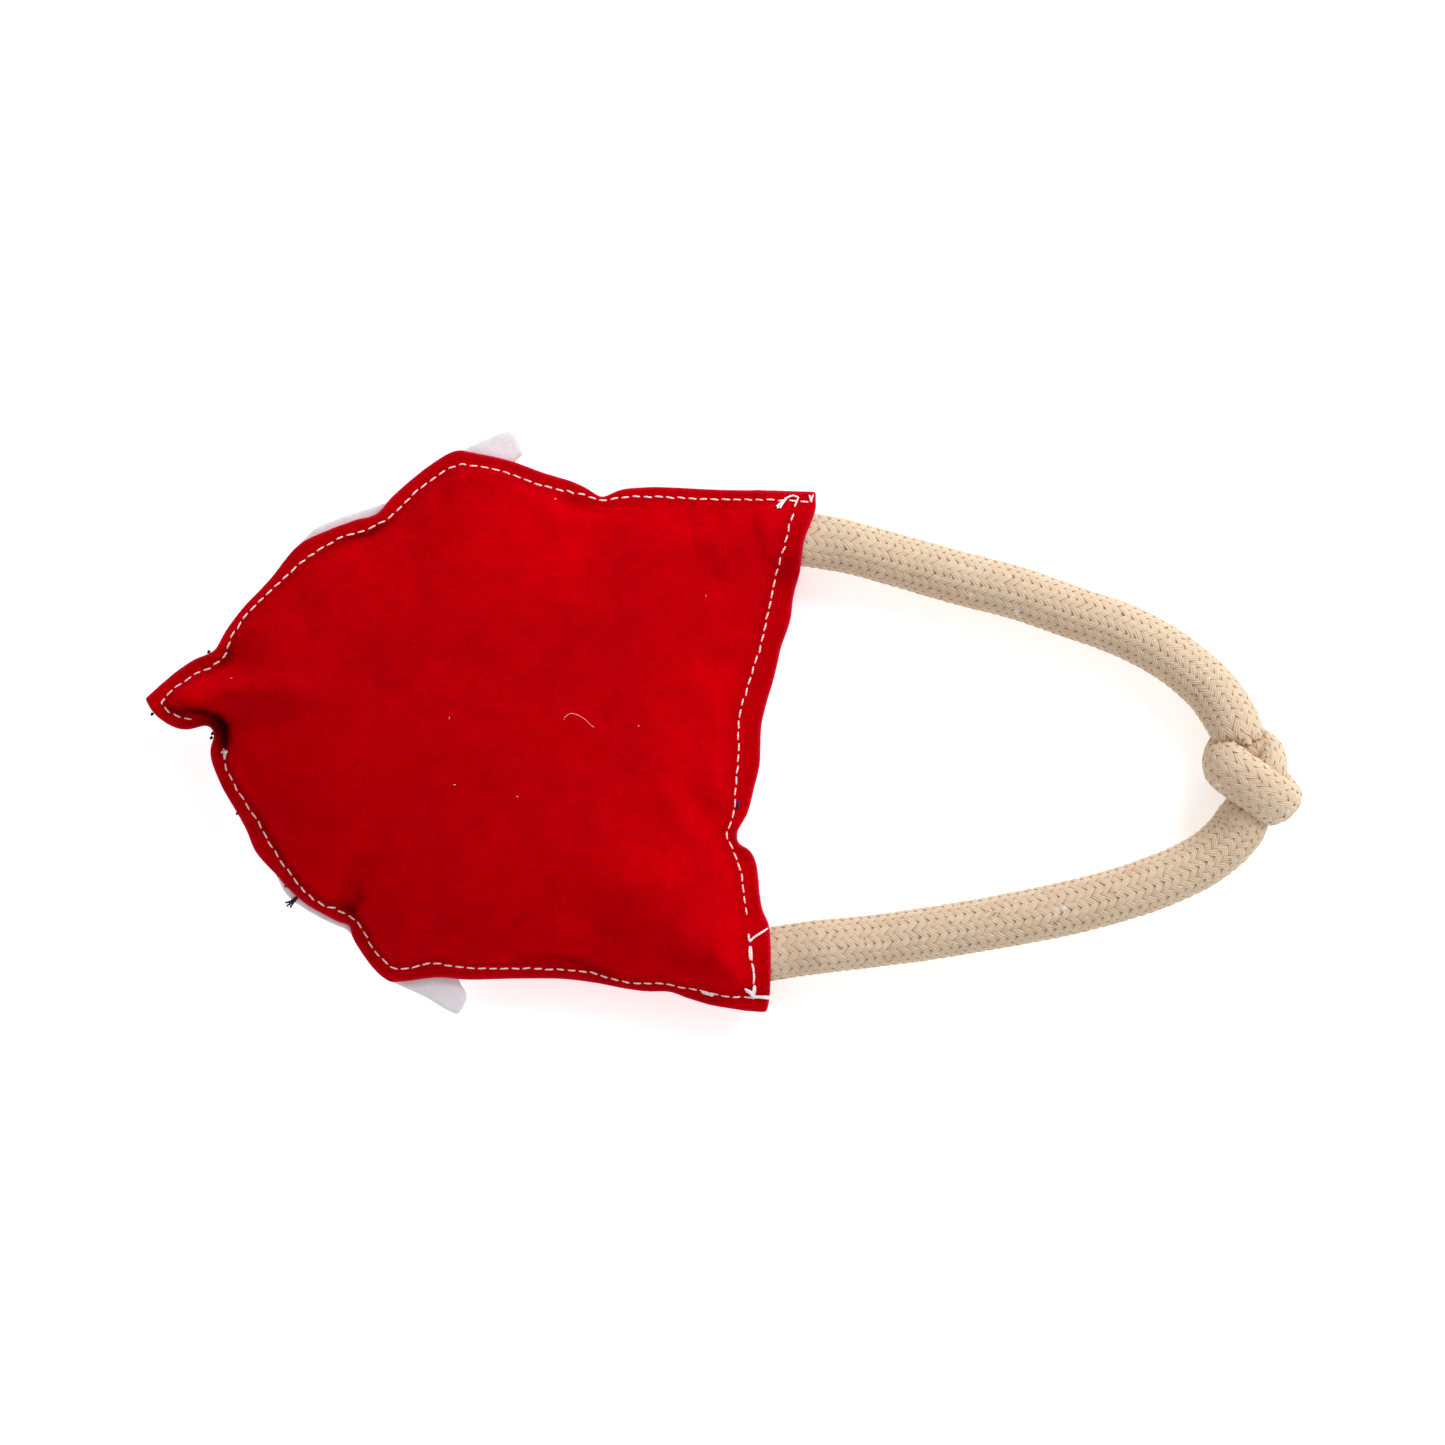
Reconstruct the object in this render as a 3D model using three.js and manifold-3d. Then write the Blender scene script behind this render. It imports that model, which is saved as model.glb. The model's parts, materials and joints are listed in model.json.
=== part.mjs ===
// A stuffed suede gift sack, lying on its front, with a knotted rope loop held in its two closing corners.
// Millimetres, +Z up. The origin is on the resting surface, below the middle of the sewn body.
// The tip of the sack points to -X and its straight closing edge, where the rope comes out, faces +X.

import * as THREE from 'three';
import { mergeVertices } from 'three/addons/utils/BufferGeometryUtils.js';
import Module from 'manifold-3d';

const wasm = await Module();
wasm.setup();

// Driving dimensions.
const suedeThickness = 1.2;
const feltThickness = 2;
const seamHeight = 12; // the plane where the two suede panels meet
const backCrown = 24; // how far the back panel bulges above the seam plane
const frontDepth = 16; // how far the front panel would bulge below it if nothing flattened it
const sideAllowance = 4.2; // from the cut edge to the stitch line
const closingAllowance = 7.5; // the same along the closing edge, which is sewn last
const threadDiameter = 0.7;
const ropeDiameter = 16.4;
const clearance = 0.3; // kept between pieces that touch

// Worked out from them.
const ropeRadius = ropeDiameter / 2;
const threadRadius = threadDiameter / 2;
const joinGap = clearance / 2;
const stitchToCrease = 2; // the panels part this far inside the stitch line
const ropeEndHeight = 0.27 * ropeDiameter; // half height of the rope where the corners press it flat
const ropeEndInside = 14; // how far the rope runs into the sack
const ropeEndOutside = 3.5; // how far the pressed end shows before the rope bends freely
const knotStrandRadius = 0.33 * ropeDiameter; // the rope pulled tight inside the knot
const seamThreadGap = 2.5 * clearance; // from the suede to a seam thread, which spans its dips
const looseThreadGap = 3 * clearance; // the same for a thread that lies loose
const threadSides = 5;
const ropeSides = 10;

// Surface colours with their roughness. Nothing on the sack is metal.
const looks = {
  suede: { color: 0xb50410, roughness: 0.95 },
  felt: { color: 0xf1ecee, roughness: 1 },
  stuffing: { color: 0xf4f4f0, roughness: 1 },
  whiteThread: { color: 0xf3dde0, roughness: 0.8 },
  blackThread: { color: 0x17151a, roughness: 0.8 },
  rope: { color: 0xd8c0a0, roughness: 0.95 },
};

// The cut edge of the panels, anticlockwise from the lower closing corner.
const closingEdge = [
  [85.8, -88], [87.7, -79], [87.6, -70], [85.6, -58], [83.8, -45], [82, -39], [77.4, -35], [80.5, -28],
  [84, -14], [85, -1], [90, 18], [94.7, 38.7], [96.4, 47], [97.6, 52.5], [98.6, 58], [99.8, 63.5],
  [101.9, 70.2],
];
const upperSide = [
  [89.5, 70.5], [68, 71], [50, 71.5], [41, 70], [36.7, 68.3], [26.3, 73.6], [7.4, 80], [-6.4, 82.8],
  [-15.3, 78.6], [-24.5, 70.5], [-31, 63.6], [-48.3, 57.7], [-57, 51.5], [-65.2, 42.5], [-77, 28.5],
  [-83, 20.7], [-92.4, 15.8], [-101.9, 7.3],
];
const lowerSide = [
  [-98, 2.4], [-84, -1.9], [-81.4, -5], [-81.8, -12], [-74.6, -27.1], [-68.8, -39.1], [-59, -50.2],
  [-48.3, -58.2], [-40.4, -61.8], [-36, -71], [-27.8, -79], [-17, -77.8], [-6.5, -78], [9, -77.9],
  [23.7, -77.9], [43.2, -80.8], [57.1, -81.8], [68.3, -85.5],
];

// The outer edge of the felt, anticlockwise from its upper tab round the tip to its lower tab.
const feltEdge = [
  [12.6, 80.2], [12.5, 83.6], [7.9, 89], [-5.6, 83.2], [-24, 69], [-30.4, 66.6], [-43.4, 62.4], [-51.3, 58.7],
  [-56.2, 53.6], [-66, 39.5], [-81.5, 20], [-91, 14.2], [-99, 6.6], [-97, 2.2], [-83, -3.2], [-80.3, -12],
  [-73.4, -27], [-63.3, -45.6], [-59.7, -52.4], [-52.2, -58], [-41.4, -63.2], [-35.5, -70], [-27.7, -79.1],
  [-17.4, -83.7], [-7.3, -89], [-5.2, -85.3], [-4.8, -80],
];
const feltInnerEdge = 20; // how far towards the tip the felt's inner edge crosses the middle line
const feltTabRoot = { upperX: 12.5, lowerX: -4.8, y: 79.5 }; // where that edge meets the two tabs
const feltUpperCurve = (feltInnerEdge + feltTabRoot.upperX) / feltTabRoot.y ** 2;
const feltLowerCurve = (feltInnerEdge + feltTabRoot.lowerX) / feltTabRoot.y ** 2;
const feltGap = 0.5; // between the felt and the front panel
const feltUnderFlange = 1.5; // the same at the seam, with room for the under thread

// The rope's route, from its end inside the upper corner to its end inside the lower corner.
const upperRoute = [
  [84.5, 57.9, 12], [98.3, 55.6, 12], [110.1, 53.6, 11], [128.7, 48.7, 8.7], [146, 43.8, 8.4],
  [163, 39.4, 8.4], [179.3, 33.7, 8.4], [194, 28.6, 8.4], [206, 22.6, 8.4], [215.5, 15.8, 8.6],
  [221.8, 9.8, 9.4], [226.4, 3, 11],
];
const knotRoute = [
  [229.3, -3, 12.6], [231.6, -9, 11.8], [234.2, -14, 7.6], [238.6, -19, 6], [242.2, -24.2, 9.4],
  [241, -24.6, 15.4], [236.6, -21.6, 20], [231.2, -17.8, 20.8], [226.6, -14.4, 18.4], [224.4, -11.2, 12.6],
  [225.6, -8.2, 7.2], [230, -6.6, 5.6], [235.2, -6.9, 6.2], [239, -9.8, 9.4], [239.2, -14.8, 12.6],
  [236.1, -20.2, 12.6], [232.6, -26, 11.4],
];
const lowerRoute = [
  [229.6, -32.4, 9.6], [224.8, -37.8, 8.8], [217.5, -43, 8.4], [204, -49, 8.4], [188.8, -53.8, 8.4],
  [171, -58, 8.4], [136, -64.2, 8.4], [118, -66.6, 8.7], [99.6, -68.5, 11], [87.6, -70.3, 12],
  [73.8, -72.4, 12],
];

const at = ([x, y, z = 0]) => new THREE.Vector3(x, y, z);

/** A closed body as an indexed, position-only geometry, without triangles that have shrunk to a line. */
function bodyFrom(positions, triangles) {
  const geometry = new THREE.BufferGeometry();
  geometry.setAttribute('position', new THREE.Float32BufferAttribute(positions, 3));
  geometry.setIndex(triangles);
  const merged = mergeVertices(geometry, 1e-3);
  const index = merged.index.array;
  const kept = [];
  for (let i = 0; i < index.length; i += 3) {
    const [a, b, c] = index.slice(i, i + 3);
    if (a !== b && b !== c && c !== a) kept.push(a, b, c);
  }
  merged.setIndex(kept);
  return merged;
}

/** A named mesh with the look of its material. */
function piece(name, geometry, look) {
  const shaded = geometry.index ? geometry.toNonIndexed() : geometry;
  shaded.computeVertexNormals();
  const material = new THREE.MeshStandardMaterial({ ...looks[look], metalness: 0 });
  const mesh = new THREE.Mesh(shaded, material);
  mesh.name = name;
  return mesh;
}

/** A manifold solid made from a closed three.js geometry. */
function solidOf(geometry) {
  const plain = geometry.clone();
  plain.deleteAttribute('normal');
  plain.deleteAttribute('uv');
  const merged = mergeVertices(plain, 1e-3);
  const vertProperties = new Float32Array(merged.attributes.position.array);
  const triVerts = new Uint32Array(merged.index.array);
  return new wasm.Manifold(new wasm.Mesh({ numProp: 3, vertProperties, triVerts }));
}

/** A three.js geometry made from a manifold solid. */
function geometryOf(solid) {
  const mesh = solid.getMesh();
  return bodyFrom(mesh.vertProperties, [...mesh.triVerts]);
}

/** A round section with flat sides, for threads and rope. */
function roundSection(radius, sides) {
  const corners = [];
  for (let i = 0; i < sides; i += 1) {
    const angle = (2 * Math.PI * i) / sides;
    corners.push(new THREE.Vector2(radius * Math.cos(angle), radius * Math.sin(angle)));
  }
  return new THREE.Shape(corners);
}

/** A tube along a smooth curve through some points. */
function tubeAlong(points, radius, sides, steps) {
  const extrudePath = new THREE.CatmullRomCurve3(points.map(at), false, 'centripetal');
  return new THREE.ExtrudeGeometry(roundSection(radius, sides), { extrudePath, steps, bevelEnabled: false });
}

// Every ray runs from the middle of the sack to its cut edge. All sewn pieces are built on the same rays.
const raysPerPoint = 2;
const outline = [...closingEdge, ...upperSide, ...lowerSide];
const firstSideRay = (closingEdge.length - 1) * raysPerPoint;

function makeRays() {
  const curve = new THREE.CatmullRomCurve3(outline.map(at), true, 'centripetal');
  const edge = curve.getPoints(raysPerPoint * outline.length).slice(0, -1);
  const flattestCut = 0.6; // keeps the flange from growing long where the edge runs along a ray
  let lastAngle = -Math.PI;
  return edge.map((point, i) => {
    const radius = Math.hypot(point.x, point.y);
    const before = edge[(i + edge.length - 1) % edge.length];
    const after = edge[(i + 1) % edge.length];
    const tangent = after.clone().sub(before).normalize();
    const cut = Math.abs(tangent.x * point.y - tangent.y * point.x) / radius;
    const allowance = i <= firstSideRay ? closingAllowance : sideAllowance;
    let angle = Math.atan2(point.y, point.x);
    if (angle < lastAngle) angle += 2 * Math.PI;
    lastAngle = angle;
    const crease = radius - (allowance + stitchToCrease) / Math.max(cut, flattestCut);
    const stitch = radius - allowance / Math.max(cut, flattestCut);
    return { angle, cos: point.x / radius, sin: point.y / radius, radius, crease, stitch };
  });
}
const rays = makeRays();

/** How high the filling lifts a panel, from 1 in the middle to 0 at the crease. */
function bulge(share) {
  const fullness = 2.2;
  const roundness = 0.6;
  return share < 1 ? (1 - share ** fullness) ** roundness : 0;
}

/** Where the rope crosses the closing edge, and the level direction it leaves in. */
function exitAt(crossing, nextOutside) {
  const point = at(crossing);
  return { point, out: at(nextOutside).sub(point).setZ(0).normalize() };
}
const exits = {
  upper: exitAt(upperRoute[1], upperRoute[2]),
  lower: exitAt(lowerRoute.at(-2), lowerRoute.at(-3)),
};

/** Half the gap that a flattened rope end holds open between the panels. */
function ropeLift(x, y) {
  const roomAside = 3.2;
  const roomAbove = 0.9;
  const halfWidth = ropeRadius + roomAside;
  const halfHeight = ropeEndHeight + roomAbove;
  let lift = 0;
  for (const { point, out } of Object.values(exits)) {
    const dx = x - point.x;
    const dy = y - point.y;
    const along = dx * out.x + dy * out.y;
    const aside = Math.abs(dx * out.y - dy * out.x);
    const inward = Math.max(0, -along - ropeEndInside) / halfHeight;
    const away = Math.hypot(aside / halfWidth, inward);
    if (away < 1) lift = Math.max(lift, halfHeight * Math.sqrt(1 - away * away));
  }
  return lift;
}

/** The level that the front panel flattens at: on the felt towards the tip, on the surface elsewhere. */
function restLevel(x) {
  const stepStart = 12;
  const stepEnd = 32;
  return (feltThickness + feltGap) * (1 - THREE.MathUtils.smoothstep(x, stepStart, stepEnd));
}

/** The four heights of the two panels over a point: both sides of the back, then both of the front. */
function heightsAt(x, y, share) {
  const lift = ropeLift(x, y);
  const backInside = seamHeight + joinGap + Math.max(backCrown * bulge(share), lift);
  const hangsTo = seamHeight - joinGap - Math.max(frontDepth * bulge(share), lift) - suedeThickness;
  const frontOutside = Math.max(hangsTo, restLevel(x));
  return {
    backOutside: backInside + suedeThickness,
    backInside,
    frontInside: frontOutside + suedeThickness,
    frontOutside,
  };
}

// The rings of the panels, as shares of the way from the middle to the crease.
const ringShares = [0, 0.4, 0.72, 0.92, 1];

/** The places on a ray where the panels have a corner, from the middle to the cut edge. */
function stationsOn(ray) {
  const midFlange = (ray.crease + ray.radius) / 2;
  return [...ringShares.map((share) => share * ray.crease), midFlange, ray.radius];
}

/** A height between two stations of a ray, from the heights at all its stations. */
function betweenStations(ray, distance, heights) {
  const stations = stationsOn(ray);
  const next = stations.findIndex((station) => station >= distance);
  if (next < 1) return next < 0 ? heights.at(-1) : heights[0];
  const share = THREE.MathUtils.inverseLerp(stations[next - 1], stations[next], distance);
  return THREE.MathUtils.lerp(heights[next - 1], heights[next], share);
}

/** The height of one face of a panel at each station of a ray. */
function faceHeights(ray, face) {
  return stationsOn(ray).map((d) => heightsAt(d * ray.cos, d * ray.sin, d / ray.crease)[face]);
}

/** The height of one face at any place, from the two rays beside it. */
function heightNear(x, y, face) {
  let angle = Math.atan2(y, x);
  if (angle < rays[0].angle) angle += 2 * Math.PI;
  const next = rays.findIndex((ray) => ray.angle > angle);
  const a = rays.at(next - 1);
  const b = rays.at(next);
  const share = (angle - a.angle) / (b.angle - a.angle);
  const edge = THREE.MathUtils.lerp(a.radius, b.radius, share);
  const [onA, onB] = [a, b].map((ray) => {
    const distance = (Math.hypot(x, y) * ray.radius) / edge;
    return betweenStations(ray, distance, faceHeights(ray, face));
  });
  return THREE.MathUtils.lerp(onA, onB, share);
}

/** A closed plate from a grid of [x, y, top, bottom] rows, one row per ray from the inside out. */
function plateFromGrid(grid, wraps) {
  const across = grid[0].length;
  const positions = [];
  for (const row of grid) {
    for (const [x, y, top, bottom] of row) positions.push(x, y, top, x, y, bottom);
  }
  const corner = (i, j, low) => 2 * ((i % grid.length) * across + j) + low;
  const triangles = [];
  const quad = (a, b, c, d) => triangles.push(a, b, c, a, c, d);
  const lastRow = wraps ? grid.length : grid.length - 1;
  for (let i = 0; i < lastRow; i += 1) {
    for (let j = 0; j < across - 1; j += 1) {
      quad(corner(i, j, 0), corner(i, j + 1, 0), corner(i + 1, j + 1, 0), corner(i + 1, j, 0));
      quad(corner(i, j, 1), corner(i + 1, j, 1), corner(i + 1, j + 1, 1), corner(i, j + 1, 1));
    }
    const outer = across - 1;
    quad(corner(i, outer, 0), corner(i, outer, 1), corner(i + 1, outer, 1), corner(i + 1, outer, 0));
    if (!wraps) quad(corner(i, 0, 1), corner(i, 0, 0), corner(i + 1, 0, 0), corner(i + 1, 0, 1));
  }
  if (!wraps) {
    const end = grid.length - 1;
    for (let j = 0; j < across - 1; j += 1) {
      quad(corner(0, j, 1), corner(0, j + 1, 1), corner(0, j + 1, 0), corner(0, j, 0));
      quad(corner(end, j, 0), corner(end, j + 1, 0), corner(end, j + 1, 1), corner(end, j, 1));
    }
  }
  return bodyFrom(positions, triangles);
}

/** A suede panel: level along its sewn edge, bulging over the filling inside it. */
function panel(topFace, bottomFace) {
  const grid = rays.map((ray) => {
    const top = faceHeights(ray, topFace);
    const bottom = faceHeights(ray, bottomFace);
    return stationsOn(ray).map((d, j) => [d * ray.cos, d * ray.sin, top[j], bottom[j]]);
  });
  return plateFromGrid(grid, true);
}

/** The filling, which fits between the panels, stops short of the seams and leaves room for the rope ends. */
function stuffing() {
  const gap = 0.4;
  const grid = rays.map((ray) => {
    const top = faceHeights(ray, 'backInside');
    const bottom = faceHeights(ray, 'frontInside');
    const inner = stationsOn(ray).slice(0, -3);
    return inner.map((d, j) => [d * ray.cos, d * ray.sin, top[j] - gap, bottom[j] + gap]);
  });
  const roomForRope = solidOf(ropeEnd(exits.upper, gap)).add(solidOf(ropeEnd(exits.lower, gap)));
  return geometryOf(solidOf(plateFromGrid(grid, true)).subtract(roomForRope));
}

/** How far out along a ray the felt's outer edge lies. */
function feltReach(angle) {
  const curve = new THREE.CatmullRomCurve3(feltEdge.map(at), false, 'centripetal');
  const samples = curve.getPoints(8 * feltEdge.length);
  const angleOf = (p) => (Math.atan2(p.y, p.x) + 2 * Math.PI) % (2 * Math.PI);
  const next = samples.findIndex((p, i) => i > 0 && angleOf(p) >= angle);
  if (next < 1 || angleOf(samples[next - 1]) > angle) return null;
  const a = samples[next - 1];
  const b = samples[next];
  return THREE.MathUtils.mapLinear(angle, angleOf(a), angleOf(b), a.length(), b.length());
}

/** How far out along a ray the felt's inner edge lies, on a curve that bends away to both tabs. */
function feltStart(ray) {
  const bend = ray.sin > 0 ? feltUpperCurve : feltLowerCurve;
  const reach = Math.sqrt(ray.cos ** 2 + 4 * feltInnerEdge * bend * ray.sin ** 2);
  return (2 * feltInnerEdge) / (reach - ray.cos);
}

/** The felt's upper side on a ray. It follows the front panel and drops a little to pass the seam. */
function feltTop(ray, distance) {
  const nearSeam = 0.8;
  const heights = faceHeights(ray, 'frontOutside').map((height, j) => {
    const inside = j < ringShares.length && ringShares[j] < nearSeam;
    return height - (inside ? feltGap : feltUnderFlange);
  });
  return betweenStations(ray, distance, heights);
}

// The rays that the felt covers, with its outer edge on each.
const feltRays = rays
  .map((ray) => ({ ...ray, start: feltStart(ray), reach: feltReach(ray.angle) }))
  .filter((ray) => ray.reach !== null && ray.reach > ray.start + 1);

/** The white felt sewn over the tip half of the front, cut with a tab at each of the widest places. */
function feltApplique() {
  const grid = feltRays.map((ray) => {
    const stations = [ray.start, ...stationsOn(ray), ray.reach];
    return stations.map((station) => {
      const distance = THREE.MathUtils.clamp(station, ray.start, ray.reach);
      const top = feltTop(ray, distance);
      return [distance * ray.cos, distance * ray.sin, top, top - feltThickness];
    });
  });
  const panelWithGap = panel('frontInside', 'frontOutside').translate(0, 0, -clearance);
  return geometryOf(solidOf(plateFromGrid(grid, false)).subtract(solidOf(panelWithGap)));
}

/** A thread run on one face of the seam, over the given rays. */
function seamThread(seamRays, face, direction) {
  const points = seamRays.map((ray) => {
    const surface = betweenStations(ray, ray.stitch, faceHeights(ray, face));
    const height = surface + direction * (seamThreadGap + threadRadius);
    return [ray.stitch * ray.cos, ray.stitch * ray.sin, height];
  });
  return tubeAlong(points, threadRadius, threadSides, points.length);
}

/** A loose thread that lies on the back, through some places given in plan. */
function threadOnBack(places) {
  const lift = looseThreadGap + threadRadius;
  const points = places.map(([x, y]) => [x, y, heightNear(x, y, 'backOutside') + lift]);
  return tubeAlong(points, threadRadius, threadSides, 3 * points.length);
}

/** The dark hand stitching that holds the felt, a little inside its edge on the front. */
function feltStitching() {
  const fromEdge = 2.4;
  const points = feltRays.slice(1, -1).map((ray) => {
    const distance = ray.reach - fromEdge;
    const below = feltTop(ray, distance) - feltThickness - 2 * clearance - threadRadius;
    return [distance * ray.cos, distance * ray.sin, below];
  });
  return tubeAlong(points, threadRadius, threadSides, points.length);
}

/** The short dark tail of that stitching, which sticks out past the lower edge. */
function feltThreadTail() {
  const height = seamHeight - joinGap - suedeThickness - threadRadius;
  const points = [[-58.6, -54, height], [-60.2, -54.2, height], [-61.4, -55.4, height]];
  return tubeAlong(points, threadRadius, threadSides, points.length + 1);
}

/** A rope end pressed flat between the panels. Extra thickness makes room around it. */
function ropeEnd({ point, out }, extra) {
  const section = roundSection(1, ropeSides + 2);
  const length = ropeEndInside + ropeEndOutside + extra;
  const geometry = new THREE.ExtrudeGeometry(section, { depth: length, steps: 1, bevelEnabled: false });
  const up = new THREE.Vector3(0, 0, 1);
  const aside = up.clone().cross(out);
  const start = point.clone().addScaledVector(out, -ropeEndInside - extra);
  geometry.scale(ropeRadius + extra, ropeEndHeight + extra, 1);
  geometry.applyMatrix4(new THREE.Matrix4().makeBasis(aside, up, out).setPosition(start));
  return geometry;
}

/** The rope of the knot, pulled tight, as one solid. Extra thickness makes room around it. */
function knotSolid(extra) {
  const strandPoints = 4;
  const strandSides = 8;
  let knot = null;
  for (let i = 0; i < knotRoute.length - 2; i += strandPoints - 2) {
    const strand = knotRoute.slice(i, i + strandPoints);
    const tube = solidOf(tubeAlong(strand, knotStrandRadius + extra, strandSides, strandPoints - 1));
    knot = knot ? knot.add(tube) : tube;
  }
  return knot;
}

/** One leg of the loop, with a round root that turns in place, ending at the knot. */
function ropeLeg(route, root) {
  const leg = solidOf(tubeAlong(route, ropeRadius, ropeSides, route.length + 2));
  const ball = new THREE.SphereGeometry(ropeRadius, 12, 8);
  ball.translate(...root);
  return geometryOf(leg.add(solidOf(ball)).subtract(knotSolid(clearance)));
}

/** The point where a leg stops, just short of the knot's first strand. */
function legEnd(last, knotStart) {
  const way = at(knotStart).sub(at(last));
  return at(last).addScaledVector(way, 1 - clearance / way.length()).toArray();
}

// The side seam stops a little short of both closing corners, and so does the closing seam.
const sideRays = rays.slice(firstSideRay + 2);
const closingRays = rays.slice(2, firstSideRay - 1);
const upperLeg = [...upperRoute.slice(2), legEnd(upperRoute.at(-1), knotRoute[0])];
const lowerLeg = [legEnd(lowerRoute[0], knotRoute.at(-1)), ...lowerRoute.slice(0, -2)];

const sack = new THREE.Group();
sack.add(
  piece('back_panel', panel('backOutside', 'backInside'), 'suede'),
  piece('front_panel', panel('frontInside', 'frontOutside'), 'suede'),
  piece('stuffing', stuffing(), 'stuffing'),
  piece('felt_applique', feltApplique(), 'felt'),
  piece('side_seam_top_thread', seamThread(sideRays, 'backOutside', 1), 'whiteThread'),
  piece('side_seam_under_thread', seamThread(sideRays, 'frontOutside', -1), 'whiteThread'),
  piece('closing_seam_top_thread', seamThread(closingRays, 'backOutside', 1), 'whiteThread'),
  piece('closing_seam_under_thread', seamThread(closingRays, 'frontOutside', -1), 'whiteThread'),
  piece('upper_corner_thread', threadOnBack([[96.4, 68.6], [93.6, 67.2], [88.7, 65.2]]), 'whiteThread'),
  piece('lower_corner_thread', threadOnBack([[83, -85.2], [85.4, -85], [84.6, -83.4]]), 'whiteThread'),
  piece('tip_thread_tail', threadOnBack([[-75.2, -7.4], [-73.4, -10], [-74, -13]]), 'whiteThread'),
  piece('felt_stitching', feltStitching(), 'blackThread'),
  piece('felt_thread_tail', feltThreadTail(), 'blackThread'),
  piece('rope_upper_end', ropeEnd(exits.upper, 0), 'rope'),
  piece('rope_lower_end', ropeEnd(exits.lower, 0), 'rope'),
);

const loop = new THREE.Group();
loop.add(
  piece('rope_upper_leg', ropeLeg(upperLeg, upperLeg[0]), 'rope'),
  piece('rope_knot', geometryOf(knotSolid(0)), 'rope'),
  piece('rope_lower_leg', ropeLeg(lowerLeg, lowerLeg.at(-1)), 'rope'),
);

const giftSack = new THREE.Group();
giftSack.add(sack, loop);

export default giftSack;
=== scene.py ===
# The looks of a stuffed suede gift sack with a knotted rope loop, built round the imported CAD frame.
# Metres, +Z up. The sack lies on its front, its tip points to -X and the rope leaves its closing edge at +X.
import json
import math
import random

import bpy
import numpy as np
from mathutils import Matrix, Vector, noise
from mathutils.bvhtree import BVHTree
from mathutils.geometry import delaunay_2d_cdt


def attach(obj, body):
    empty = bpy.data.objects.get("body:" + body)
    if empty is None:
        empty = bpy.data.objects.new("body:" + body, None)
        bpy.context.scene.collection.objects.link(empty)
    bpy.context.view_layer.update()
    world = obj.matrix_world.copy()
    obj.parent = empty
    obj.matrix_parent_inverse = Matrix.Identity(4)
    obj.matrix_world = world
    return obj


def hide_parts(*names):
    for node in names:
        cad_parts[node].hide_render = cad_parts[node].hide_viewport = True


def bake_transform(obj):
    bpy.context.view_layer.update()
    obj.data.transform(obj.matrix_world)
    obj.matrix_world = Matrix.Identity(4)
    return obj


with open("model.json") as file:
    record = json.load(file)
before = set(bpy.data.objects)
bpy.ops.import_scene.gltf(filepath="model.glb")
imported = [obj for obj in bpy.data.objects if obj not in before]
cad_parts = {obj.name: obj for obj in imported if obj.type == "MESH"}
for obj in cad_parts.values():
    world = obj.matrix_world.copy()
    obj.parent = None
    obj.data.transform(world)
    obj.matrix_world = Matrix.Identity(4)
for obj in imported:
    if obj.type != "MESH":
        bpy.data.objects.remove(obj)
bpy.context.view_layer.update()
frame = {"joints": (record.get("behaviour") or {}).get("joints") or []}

# Driving dimensions.
SEAM_LEVEL = 0.012  # the plane where the two suede panels meet
SUEDE = 0.0012  # thickness of the suede
PLY_GAP = 0.0003  # between the two panels along the seam
FELT = 0.0018  # thickness of the felt
BACK_CROWN = 0.0235  # how far the back bulges above the seam
FRONT_CROWN = 0.0155  # how far the front would bulge below it if nothing flattened it
STITCH = 0.0034  # from one stitch to the next
THREAD = 0.00029  # radius of the sewing thread
ROPE = 0.0082  # radius of the rope
KNOT_WIDTH = 0.0080  # half width of the rope pulled tight in the knot
KNOT_THICK = 0.0052  # half its thickness there
ROPE_PRESSED = 0.54  # how much of its height the rope keeps in the corners
ABOVE_FLOOR = 0.0002  # gap between the lowest pieces and the floor
VIEW_WIDTH = 0.4387  # what the camera takes in at the seam's level
VIEW_CENTRE = (0.0730, 0.0)

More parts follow.
